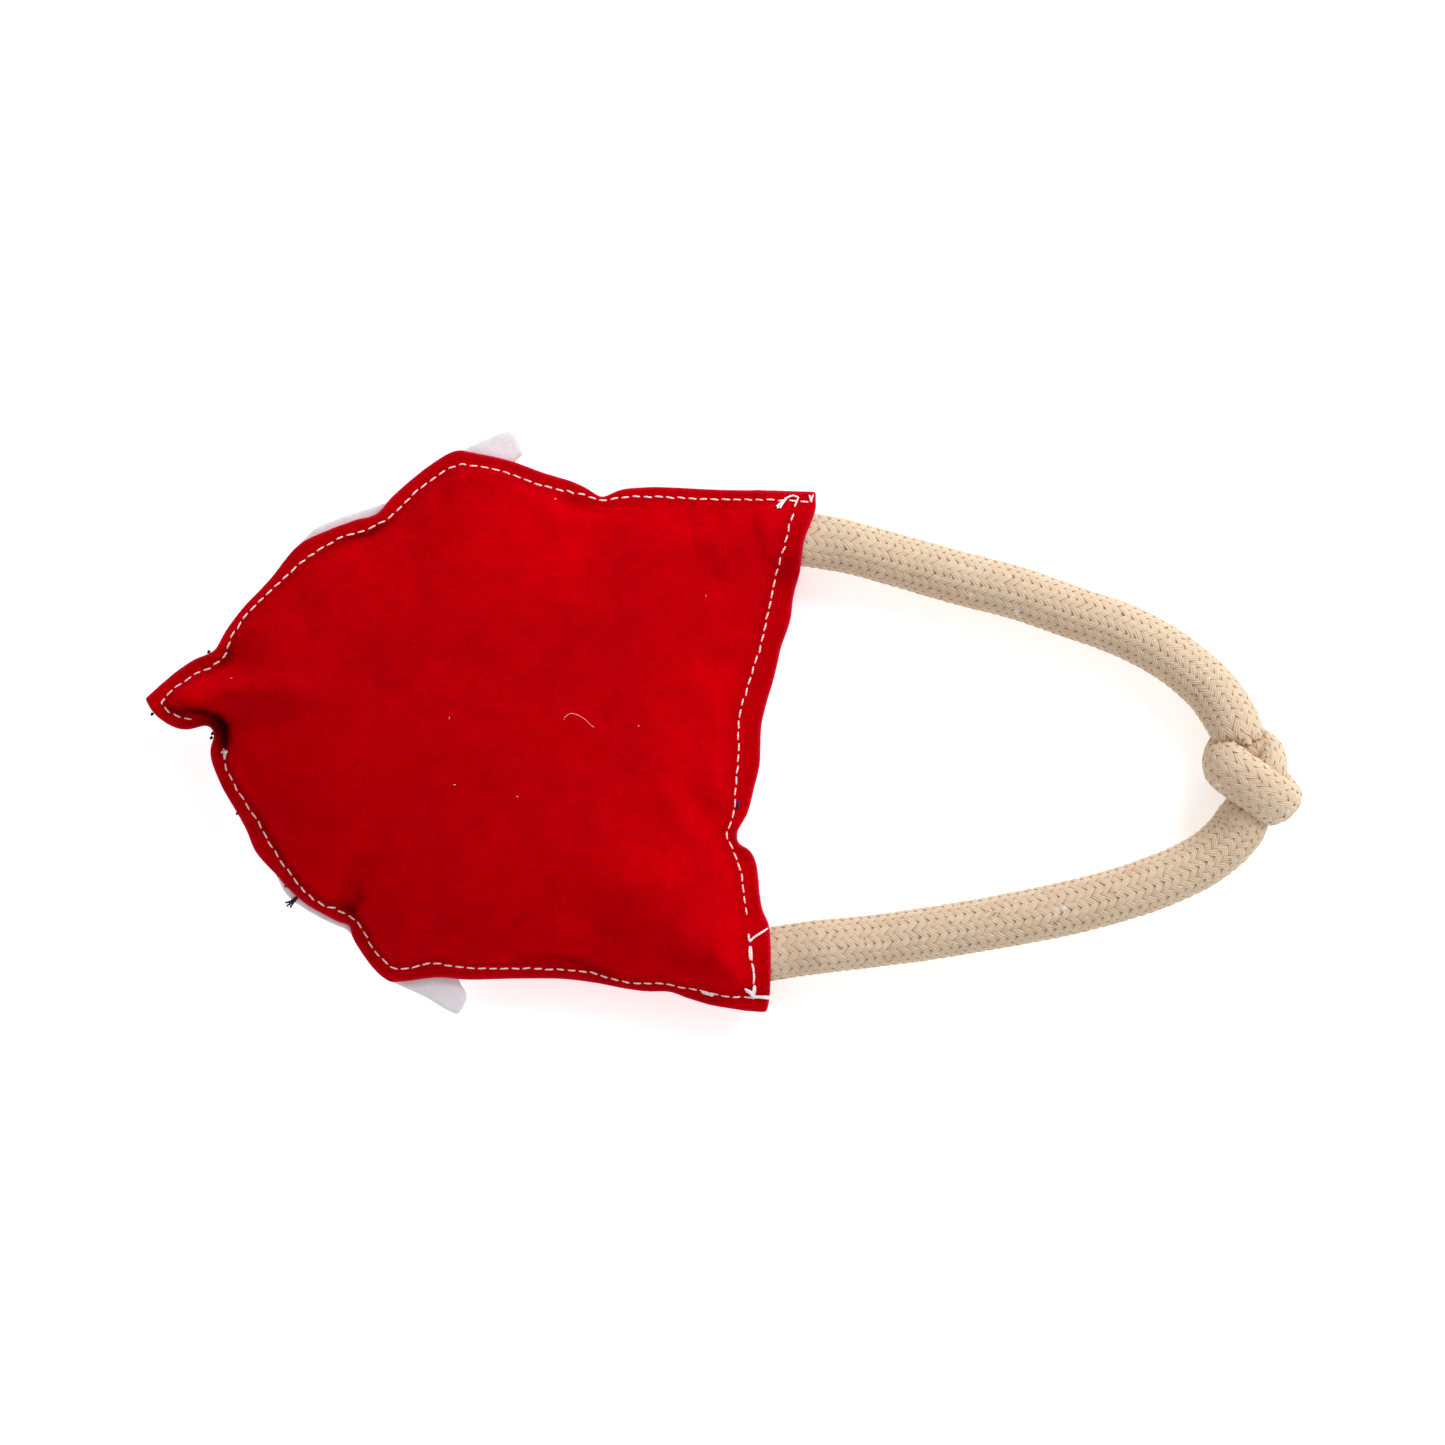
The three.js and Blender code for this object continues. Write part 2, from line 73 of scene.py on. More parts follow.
# The cut edge of the panels, one smooth side after another, clockwise from the tip.
EDGE_SIDES = [
    [(-0.1022, 0.0073), (-0.0924, 0.0158), (-0.0866, 0.0194), (-0.0830, 0.0207), (-0.0808, 0.0220),
     (-0.0777, 0.0278), (-0.0724, 0.0349), (-0.0652, 0.0425), (-0.0554, 0.0541), (-0.0483, 0.0577),
     (-0.0376, 0.0617), (-0.0327, 0.0628), (-0.0305, 0.0644), (-0.0278, 0.0679), (-0.0216, 0.0737),
     (-0.0153, 0.0786), (-0.0091, 0.0823), (-0.0064, 0.0828)],
    [(-0.0064, 0.0828), (-0.0011, 0.0817), (0.0087, 0.0795), (0.0189, 0.0758), (0.0263, 0.0736),
     (0.0314, 0.0714), (0.0347, 0.0692), (0.0366, 0.0683), (0.0391, 0.0694), (0.0424, 0.0708),
     (0.0468, 0.0713), (0.0527, 0.0716), (0.0704, 0.0708), (0.0895, 0.0705), (0.1014, 0.0701)],
    [(0.1014, 0.0701), (0.1013, 0.0644), (0.0978, 0.0549), (0.0965, 0.0453), (0.0947, 0.0387),
     (0.0936, 0.0306), (0.0910, 0.0232), (0.0888, 0.0137), (0.0866, 0.0063), (0.0849, -0.0011),
     (0.0843, -0.0134), (0.0829, -0.0190), (0.0805, -0.0280), (0.0777, -0.0329), (0.0774, -0.0350),
     (0.0781, -0.0367), (0.0812, -0.0385), (0.0829, -0.0413), (0.0838, -0.0454), (0.0845, -0.0531),
     (0.0854, -0.0573), (0.0871, -0.0611), (0.0877, -0.0691), (0.0876, -0.0790), (0.0873, -0.0845),
     (0.0863, -0.0880)],
    [(0.0863, -0.0880), (0.0781, -0.0873), (0.0683, -0.0855), (0.0627, -0.0838), (0.0571, -0.0818),
     (0.0502, -0.0817), (0.0432, -0.0808), (0.0348, -0.0792), (0.0237, -0.0779), (0.0087, -0.0778),
     (-0.0046, -0.0781), (-0.0127, -0.0774), (-0.0171, -0.0778), (-0.0233, -0.0787), (-0.0278, -0.0790)],
    [(-0.0278, -0.0790), (-0.0314, -0.0765), (-0.0358, -0.0711), (-0.0394, -0.0649), (-0.0403, -0.0615),
     (-0.0429, -0.0609), (-0.0483, -0.0582), (-0.0536, -0.0551), (-0.0590, -0.0502), (-0.0625, -0.0462),
     (-0.0688, -0.0391), (-0.0714, -0.0329), (-0.0746, -0.0271), (-0.0786, -0.0204), (-0.0817, -0.0132),
     (-0.0823, -0.0079), (-0.0812, -0.0043), (-0.0817, -0.0021), (-0.0835, -0.0010), (-0.0866, -0.0017),
     (-0.0901, -0.0023), (-0.0951, -0.0008), (-0.0999, 0.0032), (-0.1022, 0.0073)],
]

# The line of the stitches, in the same order. Where two lines cross near a corner, each runs on to its end.
SEAM_UPPER = [
    [(-0.0971, 0.0060), (-0.0938, 0.0097), (-0.0875, 0.0141), (-0.0807, 0.0175), (-0.0777, 0.0202),
     (-0.0764, 0.0241), (-0.0720, 0.0315), (-0.0672, 0.0367), (-0.0625, 0.0411), (-0.0542, 0.0487),
     (-0.0425, 0.0560), (-0.0349, 0.0584), (-0.0282, 0.0618), (-0.0194, 0.0703), (-0.0105, 0.0766),
     (-0.0056, 0.0784)],
    [(-0.0056, 0.0784), (0.0061, 0.0761), (0.0137, 0.0733), (0.0227, 0.0707), (0.0326, 0.0684),
     (0.0363, 0.0673), (0.0416, 0.0680), (0.0477, 0.0684), (0.0628, 0.0679), (0.0854, 0.0674),
     (0.0960, 0.0669)],
]
SEAM_CLOSING = [
    (0.0960, 0.0669), (0.0941, 0.0630), (0.0926, 0.0571), (0.0896, 0.0465), (0.0869, 0.0337),
    (0.0839, 0.0216), (0.0809, 0.0118), (0.0782, 0.0019), (0.0778, -0.0100), (0.0771, -0.0181),
    (0.0763, -0.0279), (0.0742, -0.0338), (0.0764, -0.0392), (0.0786, -0.0460), (0.0794, -0.0513),
    (0.0805, -0.0585), (0.0812, -0.0660), (0.0816, -0.0720), (0.0824, -0.0832),
]
SEAM_LOWER = [
    [(0.0824, -0.0832), (0.0741, -0.0828), (0.0673, -0.0814), (0.0597, -0.0800), (0.0529, -0.0790),
     (0.0461, -0.0790), (0.0386, -0.0774), (0.0326, -0.0756), (0.0265, -0.0751), (0.0137, -0.0745),
     (0.0008, -0.0745), (-0.0105, -0.0736), (-0.0145, -0.0728), (-0.0197, -0.0739), (-0.0250, -0.0748),
     (-0.0280, -0.0739)],
    [(-0.0280, -0.0739), (-0.0328, -0.0687), (-0.0372, -0.0613), (-0.0398, -0.0587), (-0.0424, -0.0574),
     (-0.0489, -0.0548), (-0.0529, -0.0517), (-0.0581, -0.0456), (-0.0642, -0.0365), (-0.0685, -0.0291),
     (-0.0746, -0.0195), (-0.0777, -0.0130), (-0.0783, -0.0086), (-0.0780, -0.0045), (-0.0793, -0.0005),
     (-0.0828, 0.0014), (-0.0877, 0.0011), (-0.0921, 0.0019), (-0.0960, 0.0045), (-0.0971, 0.0060)],
]
SEAM_SIDES = [*SEAM_UPPER, SEAM_CLOSING, *SEAM_LOWER]

# The rope's route, from its end inside the upper corner to its end inside the lower corner.
ROPE_UPPER = [
    (0.0845, 0.0579, 0.0120), (0.0983, 0.0556, 0.0120), (0.1101, 0.0536, 0.0110),
    (0.1287, 0.0487, 0.0087), (0.1460, 0.0438, 0.0084), (0.1630, 0.0394, 0.0084),
    (0.1793, 0.0337, 0.0084), (0.1940, 0.0286, 0.0084), (0.2060, 0.0226, 0.0084),
    (0.2155, 0.0158, 0.0086), (0.2218, 0.0098, 0.0094), (0.2264, 0.0030, 0.0110),
]
ROPE_KNOT = [
    (0.2293, -0.0030, 0.0126), (0.2316, -0.0090, 0.0118), (0.2342, -0.0140, 0.0076),
    (0.2386, -0.0190, 0.0060), (0.2422, -0.0242, 0.0094), (0.2410, -0.0246, 0.0154),
    (0.2366, -0.0216, 0.0200), (0.2312, -0.0178, 0.0208), (0.2266, -0.0144, 0.0184),
    (0.2244, -0.0112, 0.0126), (0.2256, -0.0082, 0.0072), (0.2300, -0.0066, 0.0056),
    (0.2352, -0.0069, 0.0062), (0.2390, -0.0098, 0.0094), (0.2392, -0.0148, 0.0126),
    (0.2361, -0.0202, 0.0126), (0.2326, -0.0260, 0.0114),
]
ROPE_LOWER = [
    (0.2296, -0.0324, 0.0096), (0.2248, -0.0378, 0.0088), (0.2175, -0.0430, 0.0084),
    (0.2040, -0.0490, 0.0084), (0.1888, -0.0538, 0.0084), (0.1710, -0.0580, 0.0084),
    (0.1360, -0.0642, 0.0084), (0.1180, -0.0666, 0.0087), (0.0996, -0.0685, 0.0110),
    (0.0876, -0.0703, 0.0120), (0.0738, -0.0724, 0.0120),
]
UPPER_EXIT, LOWER_EXIT = ROPE_UPPER[1], ROPE_LOWER[-2]  # where the rope crosses the closing edge


# ---------------------------------------------------------------- curves and meshes

def smooth_curve(points, per_span=16):
    """A centripetal Catmull-Rom curve through the points, as many close points."""
    p = np.array(points, float)
    p = np.vstack([2 * p[0] - p[1], p, 2 * p[-1] - p[-2]])
    made = []
    for a, b, c, d in zip(p, p[1:], p[2:], p[3:]):
        t1 = np.linalg.norm(b - a) ** 0.5
        t2 = t1 + np.linalg.norm(c - b) ** 0.5
        t3 = t2 + np.linalg.norm(d - c) ** 0.5
        t = np.linspace(t1, t2, per_span, endpoint=False)[:, None]
        ab = a + (b - a) * t / t1
        bc = b + (c - b) * (t - t1) / (t2 - t1)
        cd = c + (d - c) * (t - t2) / (t3 - t2)
        abc = ab + (bc - ab) * t / t2
        bcd = bc + (cd - bc) * (t - t1) / (t3 - t1)
        made.append(abc + (bcd - abc) * (t - t1) / (t2 - t1))
    return np.vstack([*made, p[-2:-1]])


def arc_lengths(path):
    """How far along the path each of its points is."""
    return np.concatenate([[0], np.cumsum(np.linalg.norm(np.diff(path, axis=0), axis=1))])


def at_lengths(path, wanted):
    """The points at the wanted distances along a path."""
    along = arc_lengths(path)
    return np.stack([np.interp(wanted, along, path[:, i]) for i in range(path.shape[1])], axis=1)


def evenly(path, spacing):
    """The path again, with points at an even spacing close to the one asked for."""
    total = arc_lengths(path)[-1]
    return at_lengths(path, np.linspace(0, total, max(2, round(total / spacing) + 1)))


def closed_ring(sides, spacing):
    """One closed outline from several smooth sides, with a point at every corner."""
    return np.vstack([evenly(smooth_curve(side), spacing)[:-1] for side in sides])


def unit(vectors):
    """The same directions, one long."""
    return vectors / np.maximum(np.linalg.norm(vectors, axis=-1, keepdims=True), 1e-12)


def eased(share):
    """A share from 0 to 1, with a soft start and a soft end."""
    return share * share * (3 - 2 * share)


def with_bumps(values, points, bumps):
    """Values at points, with a round bump added for every (x, y, height, how wide)."""
    for x, y, height, reach in bumps:
        values = values + height * np.exp(-((points[:, 0] - x) ** 2 + (points[:, 1] - y) ** 2) / reach ** 2)
    return values


def noise_at(points, scale, layer):
    """Smooth noise at points of the plan. Another layer gives other noise."""
    return np.array([noise.noise(Vector((x * scale, y * scale, layer))) for x, y in points[:, :2]])


def travelling_frames(path):
    """Directions along a path, and two across it that turn no more than the path does."""
    ahead = unit(np.gradient(path, axis=0))
    side = unit(np.cross(ahead[0], (0, 0, 1)))
    sides = [side]
    for direction in ahead[1:]:
        side = unit(side - direction * (side @ direction))
        sides.append(side)
    sides = np.array(sides)
    return ahead, sides, np.cross(sides, ahead)


def mesh_object(name, points, faces, material, smooth=True):
    """A mesh object from points and faces."""
    mesh = bpy.data.meshes.new(name)
    mesh.from_pydata([tuple(p) for p in points], [], faces)
    mesh.update()
    mesh.polygons.foreach_set("use_smooth", [smooth] * len(mesh.polygons))
    made = bpy.data.objects.new(name, mesh)
    bpy.context.scene.collection.objects.link(made)
    mesh.materials.append(material)
    return made


def point_values(made, name, values):
    """Stores one number for each point of a mesh, for its material to read."""
    attribute = made.data.attributes.new(name, "FLOAT", "POINT")
    attribute.data.foreach_set("value", np.asarray(values, np.float32))


def tube(path, radii, sides=6):
    """Points and faces of a closed tube along a path, with a radius for each point of it."""
    _, across, up = travelling_frames(path)
    angles = (np.arange(sides) * 2 * math.pi / sides)[None, :, None]
    ring = np.cos(angles) * across[:, None, :] + np.sin(angles) * up[:, None, :]
    points = path[:, None, :] + ring * radii[:, None, None]
    return points.reshape(-1, 3), tube_faces(len(path), sides)


def tube_faces(rings, sides):
    """Faces of a tube with that many rings, with both ends closed."""
    faces = []
    for i in range(rings - 1):
        for j in range(sides):
            k = (j + 1) % sides
            faces.append((i * sides + j, i * sides + k, (i + 1) * sides + k, (i + 1) * sides + j))
    faces.append(tuple(range(sides))[::-1])
    faces.append(tuple((rings - 1) * sides + j for j in range(sides)))
    return faces


def joined(parts):
    """The points and faces of several parts as one."""
    points, faces, first = [], [], 0
    for part_points, part_faces in parts:
        points.append(part_points)
        faces += [tuple(first + i for i in face) for face in part_faces]
        first += len(part_points)
    return np.vstack(points), faces


def inside_outline(points, ring):
    """Which of the points lie inside a closed outline."""
    x, y = points[:, 0:1], points[:, 1:2]
    ax, ay = ring[:, 0], ring[:, 1]
    bx, by = np.roll(ax, -1), np.roll(ay, -1)
    crosses = (ay > y) != (by > y)
    with np.errstate(divide="ignore", invalid="ignore"):
        meets = ax + (y - ay) * (bx - ax) / (by - ay)
    return (np.sum(crosses & (x < meets), axis=1) % 2).astype(bool)


def distance_to(points, ring):
    """How far each point is from the nearest point of a closely spaced line, worked out in blocks."""
    nearest = np.full(len(points), np.inf)
    block = 2000
    for start in range(0, len(points), block):
        gaps = points[start:start + block, None, :2] - ring[None, :, :2]
        nearest[start:start + block] = np.sqrt((gaps ** 2).sum(2).min(1))
    return nearest


def flat_sheet(outline, lines, spacing):
    """A flat sheet of even triangles inside an outline, with edges along the closed lines as well."""
    fixed = [outline, *lines]
    edges, first = [], 0
    for ring in fixed:
        edges += [(first + i, first + (i + 1) % len(ring)) for i in range(len(ring))]
        first += len(ring)
    low, high = outline.min(0), outline.max(0)
    row_height = spacing * math.sqrt(3) / 2
    filling = []
    for row in range(int((high[1] - low[1]) / row_height) + 1):
        start = low[0] + (row % 2) * spacing / 2
        filling += [(x, low[1] + row * row_height) for x in np.arange(start, high[0], spacing)]
    filling = np.array(filling)
    filling = filling[inside_outline(filling, outline)]
    clear = 0.62 * spacing
    filling = filling[distance_to(filling, np.vstack(fixed)) > clear]
    points = np.vstack([*fixed, filling])
    inside_only, tolerance = 1, 1e-6
    found = delaunay_2d_cdt([Vector(p) for p in points], edges, [], inside_only, tolerance)
    return np.array([tuple(p) for p in found[0]]), [tuple(face) for face in found[2]]


def applied(made):
    """Replaces an object's mesh with what its modifiers make of it."""
    result = bpy.data.meshes.new_from_object(made.evaluated_get(bpy.context.evaluated_depsgraph_get()))
    made.modifiers.clear()
    made.data = result
    result.polygons.foreach_set("use_smooth", [True] * len(result.polygons))


def rounded(made, thickness=None):
    """Rounds a mesh by one subdivision, after giving it a thickness, half to each side, if it is a sheet."""
    if thickness:
        solid = made.modifiers.new("thickness", "SOLIDIFY")
        solid.thickness = thickness
        solid.offset = 0
    softened = made.modifiers.new("rounded", "SUBSURF")
    softened.levels = softened.render_levels = 1
    applied(made)


def mesh_points(made):
    """Every point of a mesh object."""
    places = np.empty(len(made.data.vertices) * 3)
    made.data.vertices.foreach_get("co", places)
    return places.reshape(-1, 3)


# ---------------------------------------------------------------- materials

def new_material(name):
    """A material with a Principled shader, and its node tree."""
    material = bpy.data.materials.new(name)
    material.use_nodes = True
    return material, material.node_tree, material.node_tree.nodes["Principled BSDF"]


def node(tree, kind, **settings):
    """A new node with its settings and the defaults of its inputs."""
    made = tree.nodes.new(kind)
    for name, value in settings.items():
        if hasattr(made, name):
            setattr(made, name, value)
        else:
            made.inputs[name].default_value = value
    return made


def noise_value(tree, scale, detail=3.0, roughness=0.55):
    """Noise over the object's own space."""
    place = tree.nodes.get("place") or node(tree, "ShaderNodeTexCoord", name="place")
    made = node(tree, "ShaderNodeTexNoise", Scale=scale, Detail=detail, Roughness=roughness)
    tree.links.new(place.outputs["Object"], made.inputs["Vector"])
    return made.outputs["Fac"]


def ramp(tree, value, stops):
    """Colours along a value from 0 to 1."""
    made = tree.nodes.new("ShaderNodeValToRGB")
    while len(made.color_ramp.elements) < len(stops):
        made.color_ramp.elements.new(0.5)
    for element, (position, colour) in zip(made.color_ramp.elements, stops):
        element.position = position
        element.color = (*colour, 1)
    tree.links.new(value, made.inputs["Fac"])
    return made.outputs["Color"]


def mixed(tree, share, first, second, blend="MIX"):
    """Two colours mixed by a share, which is a number or a socket."""
    made = tree.nodes.new("ShaderNodeMix")
    made.data_type = "RGBA"
    made.blend_type = blend
    for socket, value in zip((made.inputs[0], made.inputs[6], made.inputs[7]), (share, first, second)):
        if isinstance(value, bpy.types.NodeSocket):
            tree.links.new(value, socket)
        elif isinstance(value, tuple):
            socket.default_value = (*value, 1)
        else:
            socket.default_value = value
    return made.outputs[2]


def bumped(tree, shader, layers):
    """Gives a shader one bump from several heights, each a socket with its strength and depth."""
    normal = None
    for height, strength, depth in layers:
        made = node(tree, "ShaderNodeBump", Strength=strength, Distance=depth)
        tree.links.new(height, made.inputs["Height"])
        if normal:
            tree.links.new(normal, made.inputs["Normal"])
        normal = made.outputs["Normal"]
    tree.links.new(normal, shader.inputs["Normal"])


def stored(tree, name):
    """A number stored on each point of the mesh."""
    return node(tree, "ShaderNodeAttribute", attribute_name=name).outputs["Fac"]


def set_surface(tree, shader, colour, roughness, specular=0.5, sheen=0.0):
    """Gives a shader its colour, and how rough and shiny it is and how much its fuzz shines."""
    tree.links.new(colour, shader.inputs["Base Color"])
    shader.inputs["Roughness"].default_value = roughness
    shader.inputs["Specular IOR Level"].default_value = specular
    shader.inputs["Sheen Weight"].default_value = sheen


def grey(value):
    """A grey, or a share as a colour."""
    return (value, value, value)


def suede_material():
    """Red velvety suede: a mottled nap that lies in patches, with a pink sheen, and painted near-black shade
    in its creases.
    """
    material, tree, shader = new_material("red_suede")
    patches = ramp(tree, noise_value(tree, 30, 4), [(0.3, (0.50, 0.0, 0.0032)), (0.7, (0.585, 0.0, 0.0024))])
    nap = ramp(tree, noise_value(tree, 480, 6, 0.7), [(0.3, grey(0.80)), (0.68, grey(1.0))])
    mottle = ramp(tree, noise_value(tree, 130, 3, 0.6), [(0.35, grey(0.88)), (0.62, grey(1.0))])
    colour = mixed(tree, 0.9, patches, nap, "MULTIPLY")
    colour = mixed(tree, 0.8, colour, mottle, "MULTIPLY")
    # The first colour is painted shade, near black, mixed in along the seam and in the back's creases where
    # shade falls.
    crease_shade_colour, cut_nap = (0.035, 0.0, 0.0006), (0.62, 0.02, 0.06)
    colour = mixed(tree, stored(tree, "crease_shade"), colour, crease_shade_colour)
    colour = mixed(tree, stored(tree, "cut_edge"), colour, cut_nap)
    set_surface(tree, shader, colour, roughness=0.95, specular=0.0, sheen=0.22)
    shader.inputs["Sheen Roughness"].default_value = 0.35
    shader.inputs["Sheen Tint"].default_value = (1.0, 0.004, 0.05, 1)
    coarse, fine = noise_value(tree, 900, 4), noise_value(tree, 2600, 3)
    bumped(tree, shader, [(coarse, 0.35, 0.0003), (fine, 0.4, 0.0001)])
    return material


def felt_material():
    """White pressed felt, with fine matted fibres."""
    material, tree, shader = new_material("white_felt")
    matted = noise_value(tree, 1500, 6, 0.7)
    fibres = ramp(tree, matted, [(0.3, (0.80, 0.75, 0.79)), (0.7, (0.92, 0.87, 0.91))])
    set_surface(tree, shader, fibres, roughness=1.0, specular=0.1, sheen=0.2)
    coarse, fine = noise_value(tree, 700, 6, 0.7), noise_value(tree, 3200, 3)
    bumped(tree, shader, [(coarse, 0.45, 0.0005), (fine, 0.4, 0.0002)])
    return material


def thread_material(name, light, dark):
    """Spun thread, with short fibres along it."""
    material, tree, shader = new_material(name)
    colour = ramp(tree, noise_value(tree, 2200, 3), [(0.3, dark), (0.65, light)])
    set_surface(tree, shader, colour, roughness=0.7, specular=0.25)
    bumped(tree, shader, [(noise_value(tree, 5000, 2), 0.4, 0.0001)])
    return material


def rope_material():
    """Raw cotton yarn: pale tan, with painted brown shade in its grooves and where it touches itself, with
    fibres and a few white and brown flecks.
    """
    material, tree, shader = new_material("cotton_rope")
    fine = noise_value(tree, 1500, 6, 0.7)
    fibre = ramp(tree, fine, [(0.28, (0.59, 0.44, 0.30)), (0.66, (0.82, 0.66, 0.49))])
    cloudy = ramp(tree, noise_value(tree, 70, 3), [(0.35, (0.76, 0.57, 0.40)), (0.65, (0.74, 0.63, 0.47))])
    ribbon = ramp(tree, stored(tree, "tone"), [(0.25, (0.70, 0.50, 0.35)), (0.75, (0.80, 0.67, 0.50))])
    colour = mixed(tree, 0.5, fibre, mixed(tree, 0.5, cloudy, ribbon))
    white = ramp(tree, noise_value(tree, 170, 2), [(0.69, grey(0)), (0.76, grey(1))])
    colour = mixed(tree, white, colour, (0.88, 0.82, 0.78))
    brown = ramp(tree, noise_value(tree, 420, 2, 0.4), [(0.25, grey(1)), (0.29, grey(0))])
    colour = mixed(tree, brown, colour, (0.42, 0.26, 0.14))
    # Painted shade: a browner colour in the grooves between yarns and where the rope touches itself, where
    # shade falls.
    crevice_shade = ramp(tree, stored(tree, "crevice_shade"), [(0.30, grey(0)), (0.72, grey(0.45)), (1.0, grey(1))])
    colour = mixed(tree, crevice_shade, colour, (0.50, 0.30, 0.16))
    set_surface(tree, shader, colour, roughness=0.95, specular=0.1, sheen=0.2)
    twist, fuzz = noise_value(tree, 900, 4), noise_value(tree, 2600, 4)
    bumped(tree, shader, [(twist, 0.35, 0.0003), (fuzz, 0.6, 0.0002)])
    return material


def filling_material():
    """White polyester filling, in soft clumps."""
    material, tree, shader = new_material("polyester_filling")
    clumps = ramp(tree, noise_value(tree, 300, 5), [(0.3, (0.78, 0.78, 0.76)), (0.7, (0.92, 0.92, 0.90))])
    set_surface(tree, shader, clumps, roughness=1.0)
    bumped(tree, shader, [(noise_value(tree, 900, 5), 0.8, 0.001)])
    return material


SUEDE_LOOK = suede_material()
FELT_LOOK = felt_material()
WHITE_THREAD_LOOK = thread_material("white_thread", (1.0, 0.95, 0.95), (1.0, 0.88, 0.89))
BLACK_THREAD_LOOK = thread_material("black_thread", (0.016, 0.014, 0.018), (0.006, 0.005, 0.008))
BLUE_THREAD_LOOK = thread_material("blue_thread", (0.030, 0.020, 0.180), (0.012, 0.008, 0.090))
ROPE_LOOK = rope_material()
FILLING_LOOK = filling_material()


# ---------------------------------------------------------------- camera, floor and light

def add_camera():
    """A long lens straight above the object, with the tip to the left."""
    data = bpy.data.cameras.new("camera")
    data.lens = 100
    data.sensor_width = 36
    distance = VIEW_WIDTH * data.lens / data.sensor_width
    camera = bpy.data.objects.new("camera", data)
    camera.location = (*VIEW_CENTRE, SEAM_LEVEL + distance)
    bpy.context.scene.collection.objects.link(camera)
    bpy.context.scene.camera = camera


def add_floor():
    """A plain white floor that gives a little light, just below the object."""
    size = 6
    material, tree, shader = new_material("floor_white")
    shader.inputs["Base Color"].default_value = (0.95, 0.95, 0.95, 1)
    shader.inputs["Roughness"].default_value = 1.0
    shader.inputs["Specular IOR Level"].default_value = 0.0
    shader.inputs["Emission Color"].default_value = (1, 1, 1, 1)
    shader.inputs["Emission Strength"].default_value = 0.45
    corners = [(x * size, y * size, -ABOVE_FLOOR) for x, y in ((-1, -1), (1, -1), (1, 1), (-1, 1))]
    mesh_object("floor", corners, [(0, 1, 2, 3)], material, smooth=False)


def add_light(name, place, size, power):
    """A soft square light that faces the sack."""
    data = bpy.data.lights.new(name, "AREA")
    data.shape = "SQUARE"
    data.size = size
    data.energy = power
    made = bpy.data.objects.new(name, data)
    made.location = place
    aim = Vector((0.05, 0, 0.01))
    towards = aim - Vector(place)
    made.rotation_euler = towards.to_track_quat("-Z", "Y").to_euler()
    bpy.context.scene.collection.objects.link(made)


def add_studio():
    """A soft key light beyond the upper corner, weaker lights on the other sides, and light all round."""
    add_light("key", (0.72, 0.80, 0.72), 0.7, 11.6)
    add_light("back", (-0.90, 0.90, 0.70), 0.8, 1.4)
    add_light("side", (1.00, -0.10, 0.45), 0.6, 0.9)
    add_light("fill", (0.20, -1.00, 0.80), 1.0, 2.8)
    world = bpy.data.worlds.new("studio")
    world.use_nodes = True
    world.node_tree.nodes["Background"].inputs["Color"].default_value = (1, 1, 1, 1)
    world.node_tree.nodes["Background"].inputs["Strength"].default_value = 0.47
    bpy.context.scene.world = world
    bpy.context.scene.view_settings.view_transform = "Standard"


# ---------------------------------------------------------------- rope

BRAID_TURN = 0.058  # how far along the rope a ribbon of yarns goes in one turn
RIBBONS = 20  # ribbons that run each way
RIBBON_DEPTH = 0.00034  # how far a ribbon rises over those it crosses, and dips under the others
RIBBON_STEPS = 44  # rings of points along a ribbon in each turn
YARN = 0.00052  # thickness of a ribbon
# Across a ribbon of three yarns: place as a share of its half width, height as a share of its thickness, and
# how much painted shade lies in the groove there.
RIBBON_SECTION = [
    (-1.0, -0.35, 1.2), (-0.86, 0.30, 0.3), (-0.52, 0.42, 0), (-0.34, -0.05, 0.8), (-0.20, 0.5, 0),
    (0.20, 0.5, 0), (0.34, -0.05, 0.8), (0.52, 0.42, 0), (0.86, 0.30, 0.3), (1.0, -0.35, 1.2),
]
CONTACT_SHADE = 0.6  # how much painted shade the rope gets where it touches itself in the knot


def rope_sizes(path):
    """Half width and half thickness of the rope along its path, which is pulled tight in the knot."""
    along = arc_lengths(path)
    starts, ends = [along[np.argmin(np.linalg.norm(path - np.array(place), axis=1))]
                    for place in (ROPE_KNOT[0], ROPE_KNOT[-1])]
    tightens = 0.006
    into = np.clip((along - starts + tightens) / (2 * tightens), 0, 1)
    out = np.clip((ends + tightens - along) / (2 * tightens), 0, 1)
    tight = np.minimum(eased(into), eased(out))
    uneven = np.array([noise.noise(Vector((s * 45, 3.7, 0))) for s in along]) * 0.00025
    return ROPE + uneven + (KNOT_WIDTH - ROPE) * tight, ROPE + uneven + (KNOT_THICK - ROPE) * tight


def outward_of_knot(path, ahead):
    """The direction across the rope, at each point of its path, that leads out of the knot."""
    outward = path - np.mean(ROPE_KNOT, axis=0)
    return unit(outward - ahead * np.sum(outward * ahead, axis=1, keepdims=True))


def pressed_together(points, distance, path):
    """How close points of the rope are to another stretch of it, up to 1 where they touch."""
    reach, knot_size, same_stretch = 0.0013, 0.035, 0.022
    ahead = unit(np.gradient(path, axis=0))
    outward = outward_of_knot(path, ahead)
    wide, thick = rope_sizes(path)
    near = np.linalg.norm(points - np.mean(ROPE_KNOT, axis=0), axis=1) < knot_size
    offset = points[near][:, None] - path[None]
    past = np.sum(offset * ahead, axis=2)
    out = np.sum(offset * outward, axis=2)
    aside = np.sqrt(np.maximum(0, np.sum(offset ** 2, axis=2) - past ** 2 - out ** 2))
    from_middle = np.hypot(out / thick, aside / wide)
    gap = np.hypot(from_middle - 1, past / wide) * thick
    gap = np.where(from_middle < 1, np.abs(past), gap)
    gap[np.abs(distance[near][:, None] - arc_lengths(path)) < same_stretch] = 1
    closeness = np.zeros(len(points))
    closeness[near] = np.clip(1 - gap.min(1) / reach, 0, 1)
    return closeness


